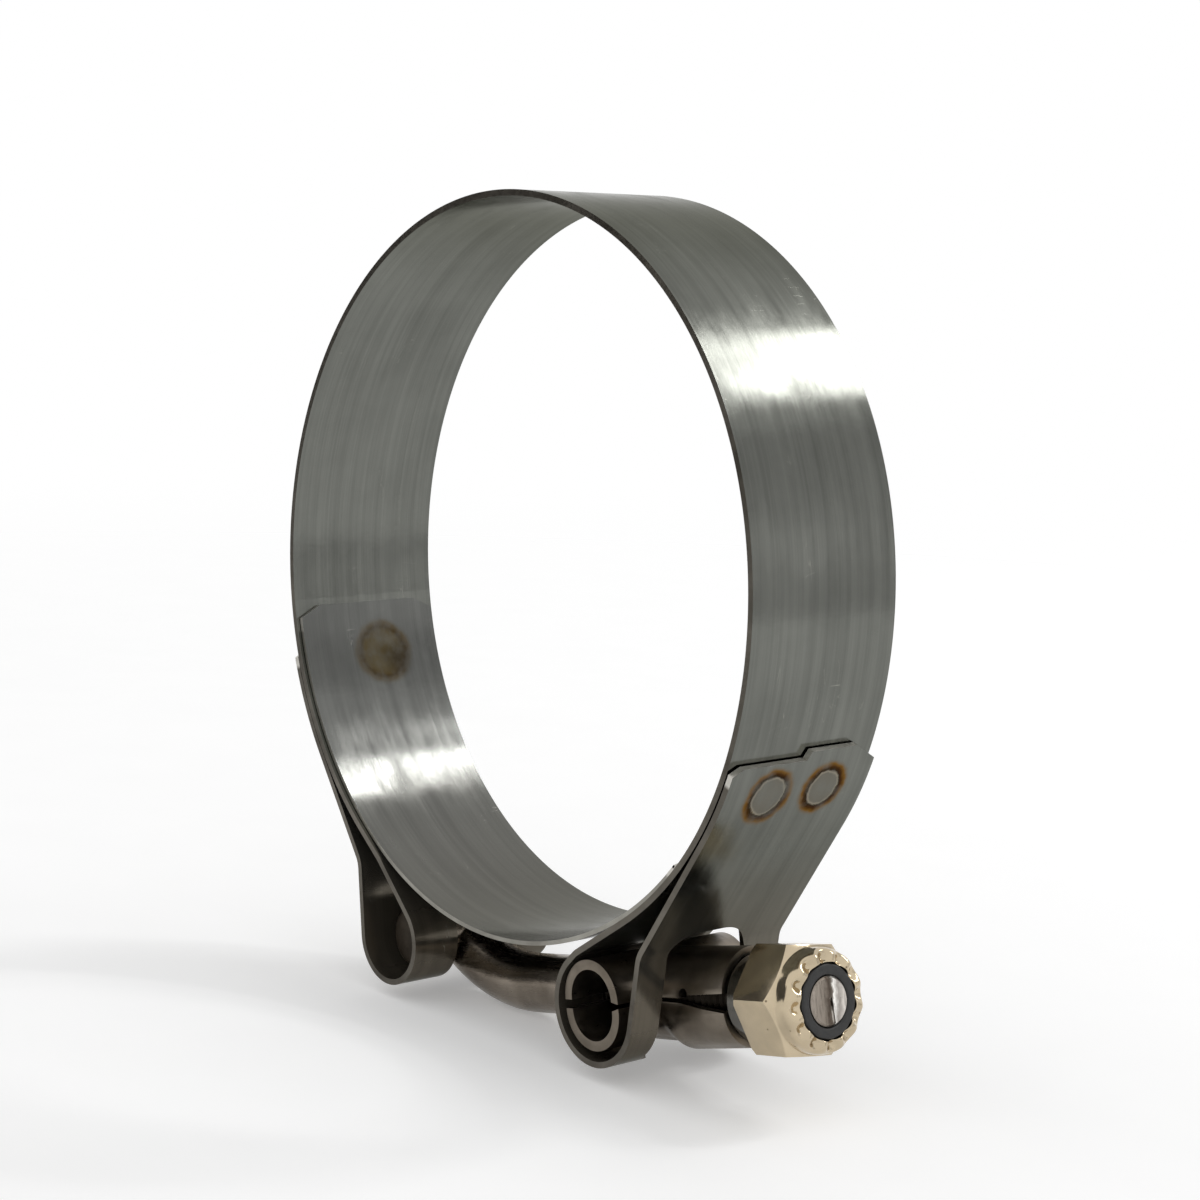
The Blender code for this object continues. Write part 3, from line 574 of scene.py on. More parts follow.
def nearest(tree, place, spots):
    """Distance from the shaded point to the nearest of some spots."""
    least = None
    for spot in spots:
        far = shader_node(tree, "ShaderNodeVectorMath", {0: place, 1: spot}, operation="DISTANCE")
        if least is None:
            least = far.outputs["Value"]
        else:
            least = shader_node(tree, "ShaderNodeMath", {0: least, 1: far.outputs["Value"]},
                                operation="MINIMUM").outputs[0]
    return least


def ramp(tree, value, stops, mode="LINEAR"):
    """A colour ramp from a list of positions and colours."""
    made = shader_node(tree, "ShaderNodeValToRGB", {"Fac": value})
    made.color_ramp.interpolation = mode
    while len(made.color_ramp.elements) < len(stops):
        made.color_ramp.elements.new(0.5)
    for element, (position, colour) in zip(made.color_ramp.elements, stops):
        element.position = position
        element.color = (*colour, 1.0)
    return made.outputs["Color"]


def blended(tree, factor, a, b, mode="MIX"):
    """Two colours blended by a factor."""
    made = shader_node(tree, "ShaderNodeMix", {0: factor, 6: a, 7: b}, data_type="RGBA",
                       blend_type=mode)
    return made.outputs[2]


def raised(tree, height, strength, distance, normal=None):
    inputs = {"Height": height, "Strength": strength, "Distance": distance}
    if normal is not None:
        inputs["Normal"] = normal
    return shader_node(tree, "ShaderNodeBump", inputs).outputs[0]


def rolled_steel(name, colour, painted_low_reflection_colour, welds, reach, tints, pressed, depth, scorches, seed):
    """Rolled stainless sheet: fine lines along the strip, clouds, scratches, heat marks, and a
    painted brown reflection towards the bottom.
    """
    steel, tree, place = new_material(name)
    sheet_map = shader_node(tree, "ShaderNodeUVMap", uv_map="strip").outputs["UV"]

    def stretched(along, across, detail, twist=0.0):
        mapped = shader_node(tree, "ShaderNodeMapping",
                             {"Vector": sheet_map, "Rotation": (0, 0, twist),
                              "Scale": (along, across, 1.0), "Location": (seed, seed, 0)})
        return noise(tree, mapped.outputs[0], 1.0, detail, 0.6)

    lines = stretched(60.0, 6500.0, 3.0)
    bands = stretched(18.0, 900.0, 2.0)
    rubs = stretched(120.0, 260.0, 4.0)
    clouds = noise(tree, place, 85.0, 4.0, 0.55)
    specks = noise(tree, place, 900.0, 3.0, 0.55)

    def hairs(along, across, twist, width, low, high):
        """Thin curved scratches in the worn patches."""
        crossing = product(tree, stretched(along, across, 1.0, twist), 0.5, "SUBTRACT")
        crossing = product(tree, crossing, crossing)
        hair = spread(tree, crossing, 0.0, width * width, 1.0, 0.0)
        return product(tree, hair, spread(tree, rubs, low, high))

    scratch = product(tree, hairs(700.0, 110.0, radians(35), 0.003, 0.60, 0.70),
                      hairs(90.0, 700.0, radians(-12), 0.004, 0.58, 0.70), "MAXIMUM")

    shade = ramp(tree, clouds, [(0.25, [c * 0.84 for c in colour]), (0.5, colour),
                                (0.75, [c * 1.14 for c in colour])])
    # Painted reflection: towards the bottom the colour turns browner, and the steel is made a
    # little less metallic there.
    height_up = shader_node(tree, "ShaderNodeSeparateXYZ", {0: place}).outputs["Z"]
    low = spread(tree, height_up, -0.024, -0.040)
    shade = blended(tree, low, shade, (*painted_low_reflection_colour, 1.0))
    streak = product(tree, spread(tree, bands, 0.3, 0.7, 0.88, 1.1),
                     spread(tree, lines, 0.2, 0.8, 0.90, 1.10))
    shade = blended(tree, 1.0, shade, grey_of(tree, streak), "MULTIPLY")
    shade = blended(tree, product(tree, scratch, 0.8), shade,
                    (colour[0] * 1.9, colour[1] * 1.85, colour[2] * 1.8, 1.0))

    height = product(tree, product(tree, lines, 0.45), bands, "ADD")
    normal = raised(tree, height, 0.35, 0.00001)
    normal = raised(tree, clouds, 0.35, 0.00008, normal)
    normal = raised(tree, scratch, 0.3, 0.00002, normal)

    away = nearest(tree, place, welds)
    away = product(tree, away, spread(tree, specks, 0.3, 0.7, -0.00012, 0.00012), "ADD")
    away = product(tree, away, spread(tree, clouds, 0.35, 0.65, -0.00022, 0.00022), "ADD")
    ring_out = spread(tree, away, 0.0, reach)
    # The weld colours come from the tints given: heat tint, and on the band a painted highlight on
    # each weld's rim.
    tint = ramp(tree, ring_out, [(at, hue) for at, hue, _ in tints])
    cover = ramp(tree, ring_out, [(at, (share,) * 3) for at, _, share in tints])
    patchy = spread(tree, noise(tree, place, 420.0, 3.0, 0.55), 0.38, 0.6, 0.55, 1.0)
    shade = blended(tree, product(tree, cover, patchy), shade, tint)
    dome = ramp(tree, ring_out, [(at, (rise,) * 3) for at, rise in pressed], "EASE")
    normal = raised(tree, dome, depth, 0.00012, normal)
    for spot, size, hue in scorches:
        dark = spread(tree, nearest(tree, place, [spot]), 0.0, size, 0.9, 0.0)
        shade = blended(tree, product(tree, dark, patchy), shade, (*hue, 1.0))

    rough = product(tree, spread(tree, bands, 0.25, 0.75, 0.13, 0.17),
                    spread(tree, rubs, 0.46, 0.70, 0.0, 0.12), "ADD")
    side = shader_node(tree, "ShaderNodeTangent", direction_type="UV_MAP", uv_map="strip")
    coat = shader_node(tree, "ShaderNodeBsdfPrincipled",
                       {"Base Color": shade, "Roughness": rough,
                        "Metallic": product(tree, 1.0, product(tree, low, 0.3), "SUBTRACT"),
                        "Normal": normal, "Tangent": side.outputs[0],
                        "Specular Tint": (0.5, 0.5, 0.47, 1.0),
                        "Anisotropic": 0.25, "Anisotropic Rotation": 0.25})
    surface(tree, coat)
    return steel


def sheared_edge(name, dark, light, strip_end):
    """The sheet's cut edge: torn across its thickness, with a painted highlight on its two end
    faces.
    """
    edge, tree, place = new_material(name)
    torn = noise(tree, place, 2200.0, 4.0, 0.55)
    worn = noise(tree, place, 160.0, 3.0, 0.55)
    shade = ramp(tree, worn, [(0.3, dark), (0.7, light)])
    strip = shader_node(tree, "ShaderNodeUVMap", uv_map="strip").outputs["UV"]
    along = shader_node(tree, "ShaderNodeSeparateXYZ", {0: strip}).outputs["X"]
    from_middle = product(tree, along, strip_end / 2, "SUBTRACT")
    from_middle = shader_node(tree, "ShaderNodeMath", {0: from_middle}, operation="ABSOLUTE")
    # Painted highlight: the cut faces at the strip's two ends are drawn light.
    painted_end_highlight = spread(tree, from_middle.outputs[0], strip_end / 2 - 0.0030, strip_end / 2 - 0.0026)
    shade = blended(tree, painted_end_highlight, shade, (0.62, 0.60, 0.55, 1.0))
    coat = shader_node(tree, "ShaderNodeBsdfPrincipled",
                       {"Base Color": shade, "Metallic": 1.0,
                        "Roughness": spread(tree, torn, 0.3, 0.7, 0.30, 0.48),
                        "Normal": raised(tree, torn, 0.5, 0.00004)})
    surface(tree, coat)
    return edge


BAND_COLOUR = (0.158, 0.162, 0.147)
# Heat tint round the right welds; the light stop at 0.56 is a painted highlight on the rim of each
# weld.
strap_heat_tints_and_rim_highlight = [(0.0, (0.165, 0.155, 0.130), 0.7), (0.50, (0.150, 0.135, 0.108), 0.7),
               (0.56, (0.27, 0.24, 0.19), 0.9), (0.62, (0.030, 0.018, 0.012), 1.0),
               (0.70, (0.055, 0.024, 0.009), 1.0), (0.82, (0.165, 0.085, 0.022), 1.0),
               (1.0, BAND_COLOUR, 0.0)]
strap_press = [(0.0, 0.50), (0.48, 0.58), (0.56, 0.70), (0.62, 0.1), (0.70, 0.72), (0.82, 0.6)]
# The third colour is the painted brown reflection towards the bottom.
band_steel = rolled_steel("band steel", BAND_COLOUR, (0.135, 0.118, 0.092), band_welds, 0.0035,
                          strap_heat_tints_and_rim_highlight, strap_press, 0.9, [], 3.0)
band_edge = sheared_edge("sheared band edge", (0.075, 0.067, 0.055), (0.17, 0.156, 0.132),
                         length)
band = bent_sheet("band_strip", blank, path, STRIP_THICKNESS, 0.00014, band_steel, band_edge)
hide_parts("band")
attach(band, "band")

# The bridge liner: a thinner stainless strip that closes the gap under the loops. Its corners are
# cut off, and one spot weld on the left holds it to the inside of the ring.
LINER_THICKNESS = 0.00045
LINER_GAP = 0.00008
LINER_OVERRUN = 0.00405
LINER_SETBACK = 0.00335
LINER_INSET = 0.0004
LINER_CHAMFER = (0.0013, 0.0026)
liner_start = left_end - LINER_OVERRUN / RING_RADIUS
liner_end = right_outer[0] - LINER_SETBACK / RING_RADIUS
inset = STRIP_THICKNESS / 2 + LINER_GAP + LINER_THICKNESS / 2
liner_path = ring_arc(liner_start, liner_end, -inset)
liner_run = stations(liner_path)
liner_length = liner_run[-1]
w = STRIP_WIDTH / 2 - LINER_INSET
x, y = LINER_CHAMFER
liner_outline = [(x, -w), (liner_length - x, -w), (liner_length, -w + y), (liner_length, w - y),
                 (liner_length - x, w), (x, w), (0, w - y), (0, -w + y)]
liner_blank = flat_blank("liner", [liner_outline], liner_run[1:-1])
liner_weld = ring_point(radians(-68), -inset)
scorch = ring_point(radians(-66.5), -inset)
LINER_COLOUR = (0.138, 0.140, 0.132)
liner_tints = [(0.0, (0.090, 0.068, 0.034), 1.0), (0.35, (0.120, 0.100, 0.060), 0.95),
               (0.60, (0.100, 0.076, 0.038), 1.0), (0.70, (0.064, 0.043, 0.018), 1.0),
               (0.84, (0.105, 0.080, 0.046), 0.8), (1.0, LINER_COLOUR, 0.0)]
liner_press = [(0.0, 0.45), (0.55, 0.5), (0.68, 0.62), (0.76, 0.4), (0.9, 0.5)]
# The third colour is the painted brown reflection towards the bottom.
liner_steel = rolled_steel("liner steel", LINER_COLOUR, (0.128, 0.124, 0.110),
                           [(liner_weld.x, 0.0015, liner_weld.y)], 0.0043, liner_tints,
                           liner_press, 0.3,
                           [((scorch.x, 0.0034, scorch.y), 0.0024, (0.018, 0.010, 0.004))],
                           11.0)
# The liner's cut edges are drawn light all round, as a painted highlight along them.
liner = bent_sheet("liner_strip", liner_blank, liner_path, LINER_THICKNESS, 0.0001, liner_steel,
                   sheared_edge("sheared liner edge", (0.22, 0.21, 0.185), (0.38, 0.37, 0.33),
                                liner_length))
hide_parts("bridge_liner")
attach(liner, "band")

# The T bolt: a drawn steel rod with a cross bar forged on its end, bent where it leaves the left
# loop, and rolled with a fine right-hand thread up to its plain chamfered tip.
CROSS_BAR_RADIUS = 0.0033
CROSS_BAR_LENGTH = STRIP_WIDTH - 2 * 0.002525
PILOT_LENGTH = 0.0021
BEND_LINE_RADIUS = 0.019
BOLT_REACH = 0.02445
THREAD_PITCH = 0.0254 / 28
THREAD_DEPTH = 0.0005
THREAD_START = -0.0062
shank_end = BOLT_REACH - PILOT_LENGTH
cross_bar_centre = left_loop + Vector((0.000825, 0))


def along_bolt(distance):
    """A place on the bolt's line, X along the bolt and Y across the strip."""
    spot = barrel_centre + distance * bolt_along
    return Matrix.Translation((spot.x, 0, spot.y)) @ Matrix.Rotation(-BOLT_PITCH, 4, "Y")


def turned_frame(distance):
    """The same place with Z along the bolt."""
    return along_bolt(distance) @ Matrix.Rotation(pi / 2, 4, "Y")


def cleaned(mesh, distance=1e-7):
    """Weld doubles, close open rims and turn every face outwards."""
    shape = bmesh.new()
    shape.from_mesh(mesh)
    bmesh.ops.remove_doubles(shape, verts=shape.verts, dist=distance)
    bmesh.ops.holes_fill(shape, edges=[edge for edge in shape.edges if edge.is_boundary])
    bmesh.ops.recalc_face_normals(shape, faces=shape.faces)
    shape.to_mesh(mesh)
    shape.free()
    return mesh


def shown(name, mesh, material, sharp=radians(32)):
    """Link a mesh as a finished piece, smooth but for its sharp edges."""
    mesh.materials.clear()
    mesh.materials.append(material)
    mesh.shade_smooth()
    mesh.set_sharp_from_angle(angle=sharp)
    return linked(name, mesh)


def cut_or_joined(mesh, others, name="worked"):
    """The mesh after Boolean steps with other meshes, each given as (mesh, operation)."""
    base = linked(name, mesh)
    tools = []
    for other, operation in others:
        tool = linked("tool", other)
        tools.append(tool)
        step = base.modifiers.new("step", "BOOLEAN")
        step.operation = operation
        step.solver = "EXACT"
        step.object = tool
    result = taken(base)
    for tool in tools:
        bpy.data.objects.remove(tool, do_unlink=True)
    return result


def round_bar(radius, length, steps, edge=0.0):
    """A closed cylinder along Z, centred, its rims rounded."""
    shape = bmesh.new()
    bmesh.ops.create_cone(shape, cap_ends=True, segments=steps, radius1=radius, radius2=radius,
                          depth=length)
    if edge:
        rims = [e for e in shape.edges if e.calc_face_angle(0) > radians(60)]
        bmesh.ops.bevel(shape, geom=rims, offset=edge, segments=4, profile=0.5, affect="EDGES")
    return mesh_of("bar", shape)


def worked_steel(name, dark, light, roughness, line_scale, seed):
    """Bare worked steel: fine marks along the piece's own X, warm dark clouds and small pits."""
    steel, tree, place = new_material(name)
    turned = shader_node(tree, "ShaderNodeMapping", {"Vector": place,
                                                     "Rotation": (0, BOLT_PITCH, 0),
                                                     "Location": (seed, seed, seed)}).outputs[0]
    stretched = shader_node(tree, "ShaderNodeMapping", {"Vector": turned,
                                                        "Scale": (0.08, 1.0, 1.0)}).outputs[0]
    marks = noise(tree, stretched, line_scale, 4.0)
    clouds = noise(tree, turned, 210.0, 5.0)
    pits = noise(tree, turned, 1500.0, 2.0)
    bump = raised(tree, product(tree, marks, pits, "ADD"), 0.5, 0.00003)
    rough = spread(tree, marks, 0.3, 0.7, roughness - 0.06, roughness + 0.08)
    coat = shader_node(tree, "ShaderNodeBsdfPrincipled",
                       {"Base Color": ramp(tree, clouds, [(0.3, dark), (0.7, light)]),
                        "Roughness": rough, "Metallic": 1.0,
                        "Normal": raised(tree, clouds, 0.5, 0.00012, bump)})
    surface(tree, coat)
    return steel


bolt_steel = worked_steel("bolt steel", (0.15, 0.125, 0.098), (0.29, 0.25, 0.205), 0.24,
                          2600.0, 0.3)
bolt_frame = (Matrix.Translation((cross_bar_centre.x, 0, cross_bar_centre.y))
              @ Matrix.Rotation(-BOLT_PITCH, 4, "Y"))
barrel_at = (barrel_centre - cross_bar_centre).dot(bolt_along)
drop = (barrel_centre - cross_bar_centre).dot(-bolt_up)
bend_angle = acos(1 - drop / BEND_LINE_RADIUS)
middle = Vector((BEND_LINE_RADIUS * sin(bend_angle), BEND_LINE_RADIUS - drop))
line = arc(middle, BEND_LINE_RADIUS, -pi / 2 - bend_angle, -pi / 2, radians(1.5))
line += [Vector((barrel_at + THREAD_START, -drop)),
         Vector((barrel_at + THREAD_START + 0.0003, -drop))]
core = SHANK_RADIUS - THREAD_DEPTH - 0.0001
rod = bpy.data.curves.new("rod", "CURVE")
rod.dimensions = "3D"
rod.bevel_depth = SHANK_RADIUS
rod.bevel_resolution = 22
rod.use_fill_caps = True
spline = drawn(rod, [(spot.x, 0, spot.y) for spot in line])
spline.points[-1].radius = core / SHANK_RADIUS
rod_mesh = cleaned(taken(linked("rod", rod)))
bar = round_bar(CROSS_BAR_RADIUS, CROSS_BAR_LENGTH, 64, 0.0005)
bar.transform(Matrix.Rotation(pi / 2, 4, "X"))
rod_mesh = cut_or_joined(rod_mesh, [(bar, "UNION")])
rod_mesh.transform(bolt_frame)
bolt_rod = shown("bolt_rod", rod_mesh, bolt_steel)
rod_mesh.materials.append(worked_steel("forge scale", (0.022, 0.018, 0.014), (0.085, 0.07, 0.054),
                                       0.40, 900.0, 0.7))
for face in rod_mesh.polygons:
    if abs(face.normal.y) > 0.5 and abs(face.center.y) > CROSS_BAR_LENGTH / 2 - 0.0006:
        face.material_index = 1
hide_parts("t_bolt")
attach(bolt_rod, "t_bolt")


def thread_tree():
    """Nodes that wind a grid into a rolled thread along X; its rows follow the helix."""
    group, given = geometry_group("rolled thread",
                                  [("Radius", "Float"), ("Depth", "Float"), ("Pitch", "Float"),
                                   ("Turns", "Int"), ("Rows a turn", "Int"), ("Sides", "Int"),
                                   ("Steel", "Material")], "Thread")

    def maths(operation, a, b=None, clamp=False):
        inputs = {0: a} if b is None else {0: a, 1: b}
        return shader_node(group, "ShaderNodeMath", inputs, operation=operation,
                           use_clamp=clamp).outputs[0]

    turns = maths("ADD", given["Turns"], 1.0)
    rows = maths("ADD", maths("MULTIPLY", turns, given["Rows a turn"]), 1.0)
    grid = shader_node(group, "GeometryNodeMeshGrid", {"Size X": 1.0, "Size Y": 1.0})
    group.links.new(rows, grid.inputs["Vertices X"])
    group.links.new(maths("ADD", given["Sides"], 1.0), grid.inputs["Vertices Y"])
    spot = shader_node(group, "ShaderNodeSeparateXYZ",
                       {0: shader_node(group, "GeometryNodeInputPosition").outputs[0]}).outputs
    turn = maths("MULTIPLY", maths("ADD", spot["X"], 0.5), turns)
    share = maths("ADD", spot["Y"], 0.5)
    angle = maths("MULTIPLY", share, 2 * pi)
    along = maths("SUBTRACT", maths("ADD", turn, share), 1.0)
    along = maths("MINIMUM", maths("MAXIMUM", along, 0.0), given["Turns"])
    zigzag = maths("ABSOLUTE", maths("SUBTRACT",
                                     maths("MULTIPLY", maths("FRACT", turn), 2.0), 1.0))
    groove = maths("DIVIDE", maths("SUBTRACT", zigzag, 0.12), 0.76, clamp=True)
    from_start = maths("MULTIPLY", along, 1.0, clamp=True)
    from_end = maths("SUBTRACT", given["Turns"], along)
    tip_cut = maths("SUBTRACT", 1.0, maths("DIVIDE", from_end, 0.6, clamp=True))
    sunk = maths("MAXIMUM", maths("MULTIPLY", groove, from_start), tip_cut)
    radius = maths("SUBTRACT", given["Radius"], maths("MULTIPLY", sunk, given["Depth"]))
    ring = shader_node(group, "ShaderNodeCombineXYZ",
                       {"X": maths("MULTIPLY", along, given["Pitch"]),
                        "Y": maths("MULTIPLY", radius, maths("COSINE", angle)),
                        "Z": maths("MULTIPLY", radius, maths("SINE", angle))})
    wound = shader_node(group, "GeometryNodeSetPosition", {"Geometry": grid.outputs["Mesh"],
                                                           "Position": ring.outputs[0]})
    merged = shader_node(group, "GeometryNodeMergeByDistance", {"Geometry": wound.outputs[0],
                                                                "Distance": 1e-6})
    return handed_out(group, merged.outputs[0], given["Steel"], "Thread")


# The thread is drawn near black: painted shade for the thread deep inside the sleeve.
thread_steel_in_painted_shade = worked_steel("oiled thread", (0.002, 0.0017, 0.0013), (0.017, 0.014, 0.011), 0.3,
                            2600.0, 0.5)
thread_turns = int((shank_end - THREAD_START) / THREAD_PITCH)
thread_holder = linked("thread", bpy.data.meshes.new("thread"))
worked_by(thread_holder, thread_tree(),
          {"Radius": SHANK_RADIUS, "Depth": THREAD_DEPTH, "Pitch": THREAD_PITCH,
           "Turns": thread_turns, "Rows a turn": 8, "Sides": 72, "Steel": thread_steel_in_painted_shade})
thread_mesh = cleaned(taken(thread_holder), 1e-6)
thread_mesh.transform(along_bolt(shank_end - thread_turns * THREAD_PITCH))
bolt_thread = shown("bolt_thread", thread_mesh, thread_steel_in_painted_shade, radians(60))
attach(bolt_thread, "t_bolt")

tip_radius = 0.00242
tip_back = 0.0006
TIP_CHAMFER = (0.0002, 0.00022)
tip_profile = [(0.0, -tip_back), (tip_radius, -tip_back),
               (tip_radius, PILOT_LENGTH - TIP_CHAMFER[1]),
               (tip_radius - TIP_CHAMFER[0], PILOT_LENGTH), (0.0, PILOT_LENGTH)]


def turned(profile, steps):
    """A closed form turned about Z from (radius, height) points."""
    shape = bmesh.new()
    rim = [shape.verts.new((radius, 0, height)) for radius, height in profile]
    for a, b in zip(rim, rim[1:]):
        shape.edges.new((a, b))
    bmesh.ops.spin(shape, geom=shape.verts[:] + shape.edges[:], cent=(0, 0, 0), axis=(0, 0, 1),
                   angle=2 * pi, steps=steps, use_merge=True)
    return cleaned(mesh_of("turned", shape), 1e-6)


tip_mesh = turned(tip_profile, 72)
groove = bmesh.new()
bmesh.ops.create_cube(groove, size=1.0)
groove_mesh = mesh_of("groove", groove)
groove_mesh.transform(Matrix.Translation((0.0009, 0.00022, PILOT_LENGTH))
                      @ Matrix.Rotation(0.06, 4, "Z")
                      @ Matrix.Diagonal((0.0025, 0.00036, 0.0006, 1.0)))
tip_mesh = cut_or_joined(tip_mesh, [(groove_mesh, "DIFFERENCE")])
tip_mesh.transform(turned_frame(shank_end))

tip_steel_with_painted_glint, tree, place = new_material("sheared bolt end")
turn = shader_node(tree, "ShaderNodeMapping", {"Vector": place, "Rotation": (0, BOLT_PITCH, 0)})
parts = shader_node(tree, "ShaderNodeSeparateXYZ", {0: turn.outputs[0]})
scored = shader_node(tree, "ShaderNodeMapping", {"Vector": turn.outputs[0],
                                                 "Scale": (1.0, 1.0, 0.12)}).outputs[0]
score = noise(tree, scored, 4200.0, 3.0, 0.55)
wander = spread(tree, noise(tree, turn.outputs[0], 900.0, 3.0, 0.55), 0.3, 0.7, -0.00025, 0.00025)
across = spread(tree, product(tree, parts.outputs["Y"], wander, "ADD"), -0.0025, 0.0025)
# Across the end: the dark line on one side of the slot is painted shade and the bright line on its
# other side a painted highlight; the other bands are lighter and darker tones.
shade = ramp(tree, across, [(0.0, (0.33, 0.29, 0.25)), (0.36, (0.25, 0.215, 0.18)),
                            (0.47, (0.09, 0.07, 0.055)), (0.55, (0.14, 0.12, 0.10)),
                            (0.60, (0.95, 0.92, 0.87)), (0.72, (0.36, 0.33, 0.30)),
                            (0.86, (0.66, 0.62, 0.57)), (1.0, (0.42, 0.385, 0.35))])
grey = grey_of(tree, spread(tree, score, 0.3, 0.7, 0.75, 1.2))
shade = blended(tree, 1.0, shade, grey, "MULTIPLY")
normal = raised(tree, product(tree, score, across, "ADD"), 0.5, 0.00004)
coat = shader_node(tree, "ShaderNodeBsdfPrincipled",
                   {"Base Color": shade, "Metallic": 1.0, "Normal": normal,
                    "Roughness": spread(tree, score, 0.3, 0.7, 0.24, 0.36)})
surface(tree, coat)
bolt_tip = shown("bolt_tip", tip_mesh, tip_steel_with_painted_glint)
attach(bolt_tip, "t_bolt")

# The trunnion: two shells pressed from 1 mm sheet, each half a barrel and half a sleeve, closed
# round the bolt. The seam opens towards the nut, and a round relief is nibbled in the upper edge.
SHEET = 0.001
BARREL_LENGTH = STRIP_WIDTH - 2 * 0.000325
SLEEVE_LENGTH = 0.0141
SLEEVE_ROOT_TOP = 0.00455
SLEEVE_ROOT_BOTTOM = 0.00490
SLEEVE_END_TOP = 0.005
SLEEVE_BULGE = 0.00558
SLEEVE_END_BOTTOM = 0.00500
SHOULDER_START = 0.0042
SHOULDER_LENGTH = 0.0017
PAST = 0.002
SHANK_ROOM = 0.0004
SWING_ROOM = 0.00025
RELIEF_RADIUS = 0.00062
RELIEF_PLACE = (0.0084, 0, 0.00066)


def closed_loft(rings):
    """A closed skin over a row of like sections."""
    shape = bmesh.new()
    rows = [[shape.verts.new(point) for point in ring] for ring in rings]
    for before, after in zip(rows, rows[1:]):
        for i in range(len(before)):
            j = (i + 1) % len(before)
            shape.faces.new((before[i], before[j], after[j], after[i]))
    shape.faces.new(rows[0])
    shape.faces.new(rows[-1])
    bmesh.ops.recalc_face_normals(shape, faces=shape.faces)
    return mesh_of("loft", shape)


def sleeve(inset, overrun, ease=0.0):
    """The sleeve, or its bore: lofted along the bolt from the barrel, over the shoulder."""
    rings = []
    end = SLEEVE_LENGTH + overrun
    steps = [0.0, 0.0025]
    steps += [SHOULDER_START - 0.0003 + (SHOULDER_LENGTH + 0.0006) * i / 10 for i in range(11)]
    steps += [SLEEVE_LENGTH * 0.7, SLEEVE_LENGTH, end] if overrun else [SLEEVE_LENGTH * 0.7, end]
    for x in steps:
        share = min(1.0, max(0.0, (x - SHOULDER_START) / SHOULDER_LENGTH))
        share = share * share * (3 - 2 * share)
        run_out = min(1.0, max(0.0, (x - SHOULDER_START - SHOULDER_LENGTH)
                               / (SLEEVE_LENGTH - SHOULDER_START - SHOULDER_LENGTH)))
        full = SLEEVE_BULGE + (SLEEVE_END_BOTTOM - SLEEVE_BULGE) * run_out
        root = SLEEVE_ROOT_BOTTOM + ease
        bottom = root + (full - root) * share - inset
        rising = (SLEEVE_END_TOP - SLEEVE_ROOT_TOP) * x / SLEEVE_LENGTH
        top = SLEEVE_ROOT_TOP + ease + rising - inset
        half = SLEEVE_HALF_WIDTH - inset
        section = (arc(Vector((0, top - half)), half, 0, pi, radians(4))
                   + arc(Vector((0, half - bottom)), half, pi, 2 * pi, radians(4)))
        rings.append([(x, point.x, point.y) for point in section])
    return closed_loft(rings)


def barrel(radius, half_length):
    """The barrel, or its hollow: a round across the strip, drawn a little taller."""
    outline = (arc(Vector((0, arc_offset)), radius, 0, pi, radians(4))
               + arc(Vector((0, -arc_offset)), radius, pi, 2 * pi, radians(4)))
    return closed_loft([[(point.x, side * half_length, point.y) for point in outline]
                        for side in (-1, 1)])


def across_seam(side):
    """All on the other side of the seam's edge from one shell."""
    far = SLEEVE_LENGTH + PAST
    if side > 0:
        edge = [(-far, 0.00045), (BARREL_RADIUS - SHEET, 0.00045), (BARREL_RADIUS, 0.00025),
                (0.0077, 0.00024), (0.0092, 0.00062), (SLEEVE_LENGTH, 0.001), (far, 0.001)]
    else:
        edge = [(-far, -0.00045), (BARREL_RADIUS - SHEET, -0.00045), (BARREL_RADIUS, -0.00016),
                (0.0076, -0.00018), (0.0087, -0.00034), (0.0108, -0.00064),
                (SLEEVE_LENGTH, -0.00092), (far, -0.00092)]
    reach = -side * (SLEEVE_BULGE + PAST)
    outline = [(-far, reach)] + edge + [(far, reach)]
    half = BARREL_LENGTH / 2 + PAST
    return closed_loft([[(x, way * half, z) for x, z in outline] for way in (-1, 1)])


trunnion_steel = worked_steel("trunnion steel", (0.12, 0.10, 0.077), (0.26, 0.226, 0.184),
                              0.33, 1400.0, 0.1)
for name, side in (("upper_shell", 1), ("lower_shell", -1)):
    hole_mesh = round_bar(SHANK_RADIUS + SHANK_ROOM, BARREL_RADIUS + PAST, 64)
    hole_mesh.transform(Matrix.Translation((-(BARREL_RADIUS + PAST) / 2, 0, 0))
                        @ Matrix.Rotation(pi / 2, 4, "Y"))
    relief = round_bar(RELIEF_RADIUS, 2 * (SLEEVE_HALF_WIDTH + PAST), 32)
    relief.transform(Matrix.Translation(RELIEF_PLACE) @ Matrix.Rotation(pi / 2, 4, "X"))
    shell_mesh = cut_or_joined(barrel(BARREL_RADIUS, BARREL_LENGTH / 2),
                               [(sleeve(0, 0), "UNION"),
                                (barrel(BARREL_RADIUS - SHEET, BARREL_LENGTH / 2 + PAST),
                                 "DIFFERENCE"),
                                (sleeve(SHEET, PAST, SWING_ROOM), "DIFFERENCE"),
                                (hole_mesh, "DIFFERENCE"), (relief, "DIFFERENCE"),
                                (across_seam(side), "DIFFERENCE")])
    worked = linked("shell", shell_mesh)
    rounded(worked, 0.00017, 3, 40)
    shell_mesh = taken(worked)
    shell_mesh.transform(along_bolt(0))
    shell = shown(name, shell_mesh, trunnion_steel, radians(40))
    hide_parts("trunnion_upper" if side > 0 else "trunnion_lower")
    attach(shell, "trunnion")

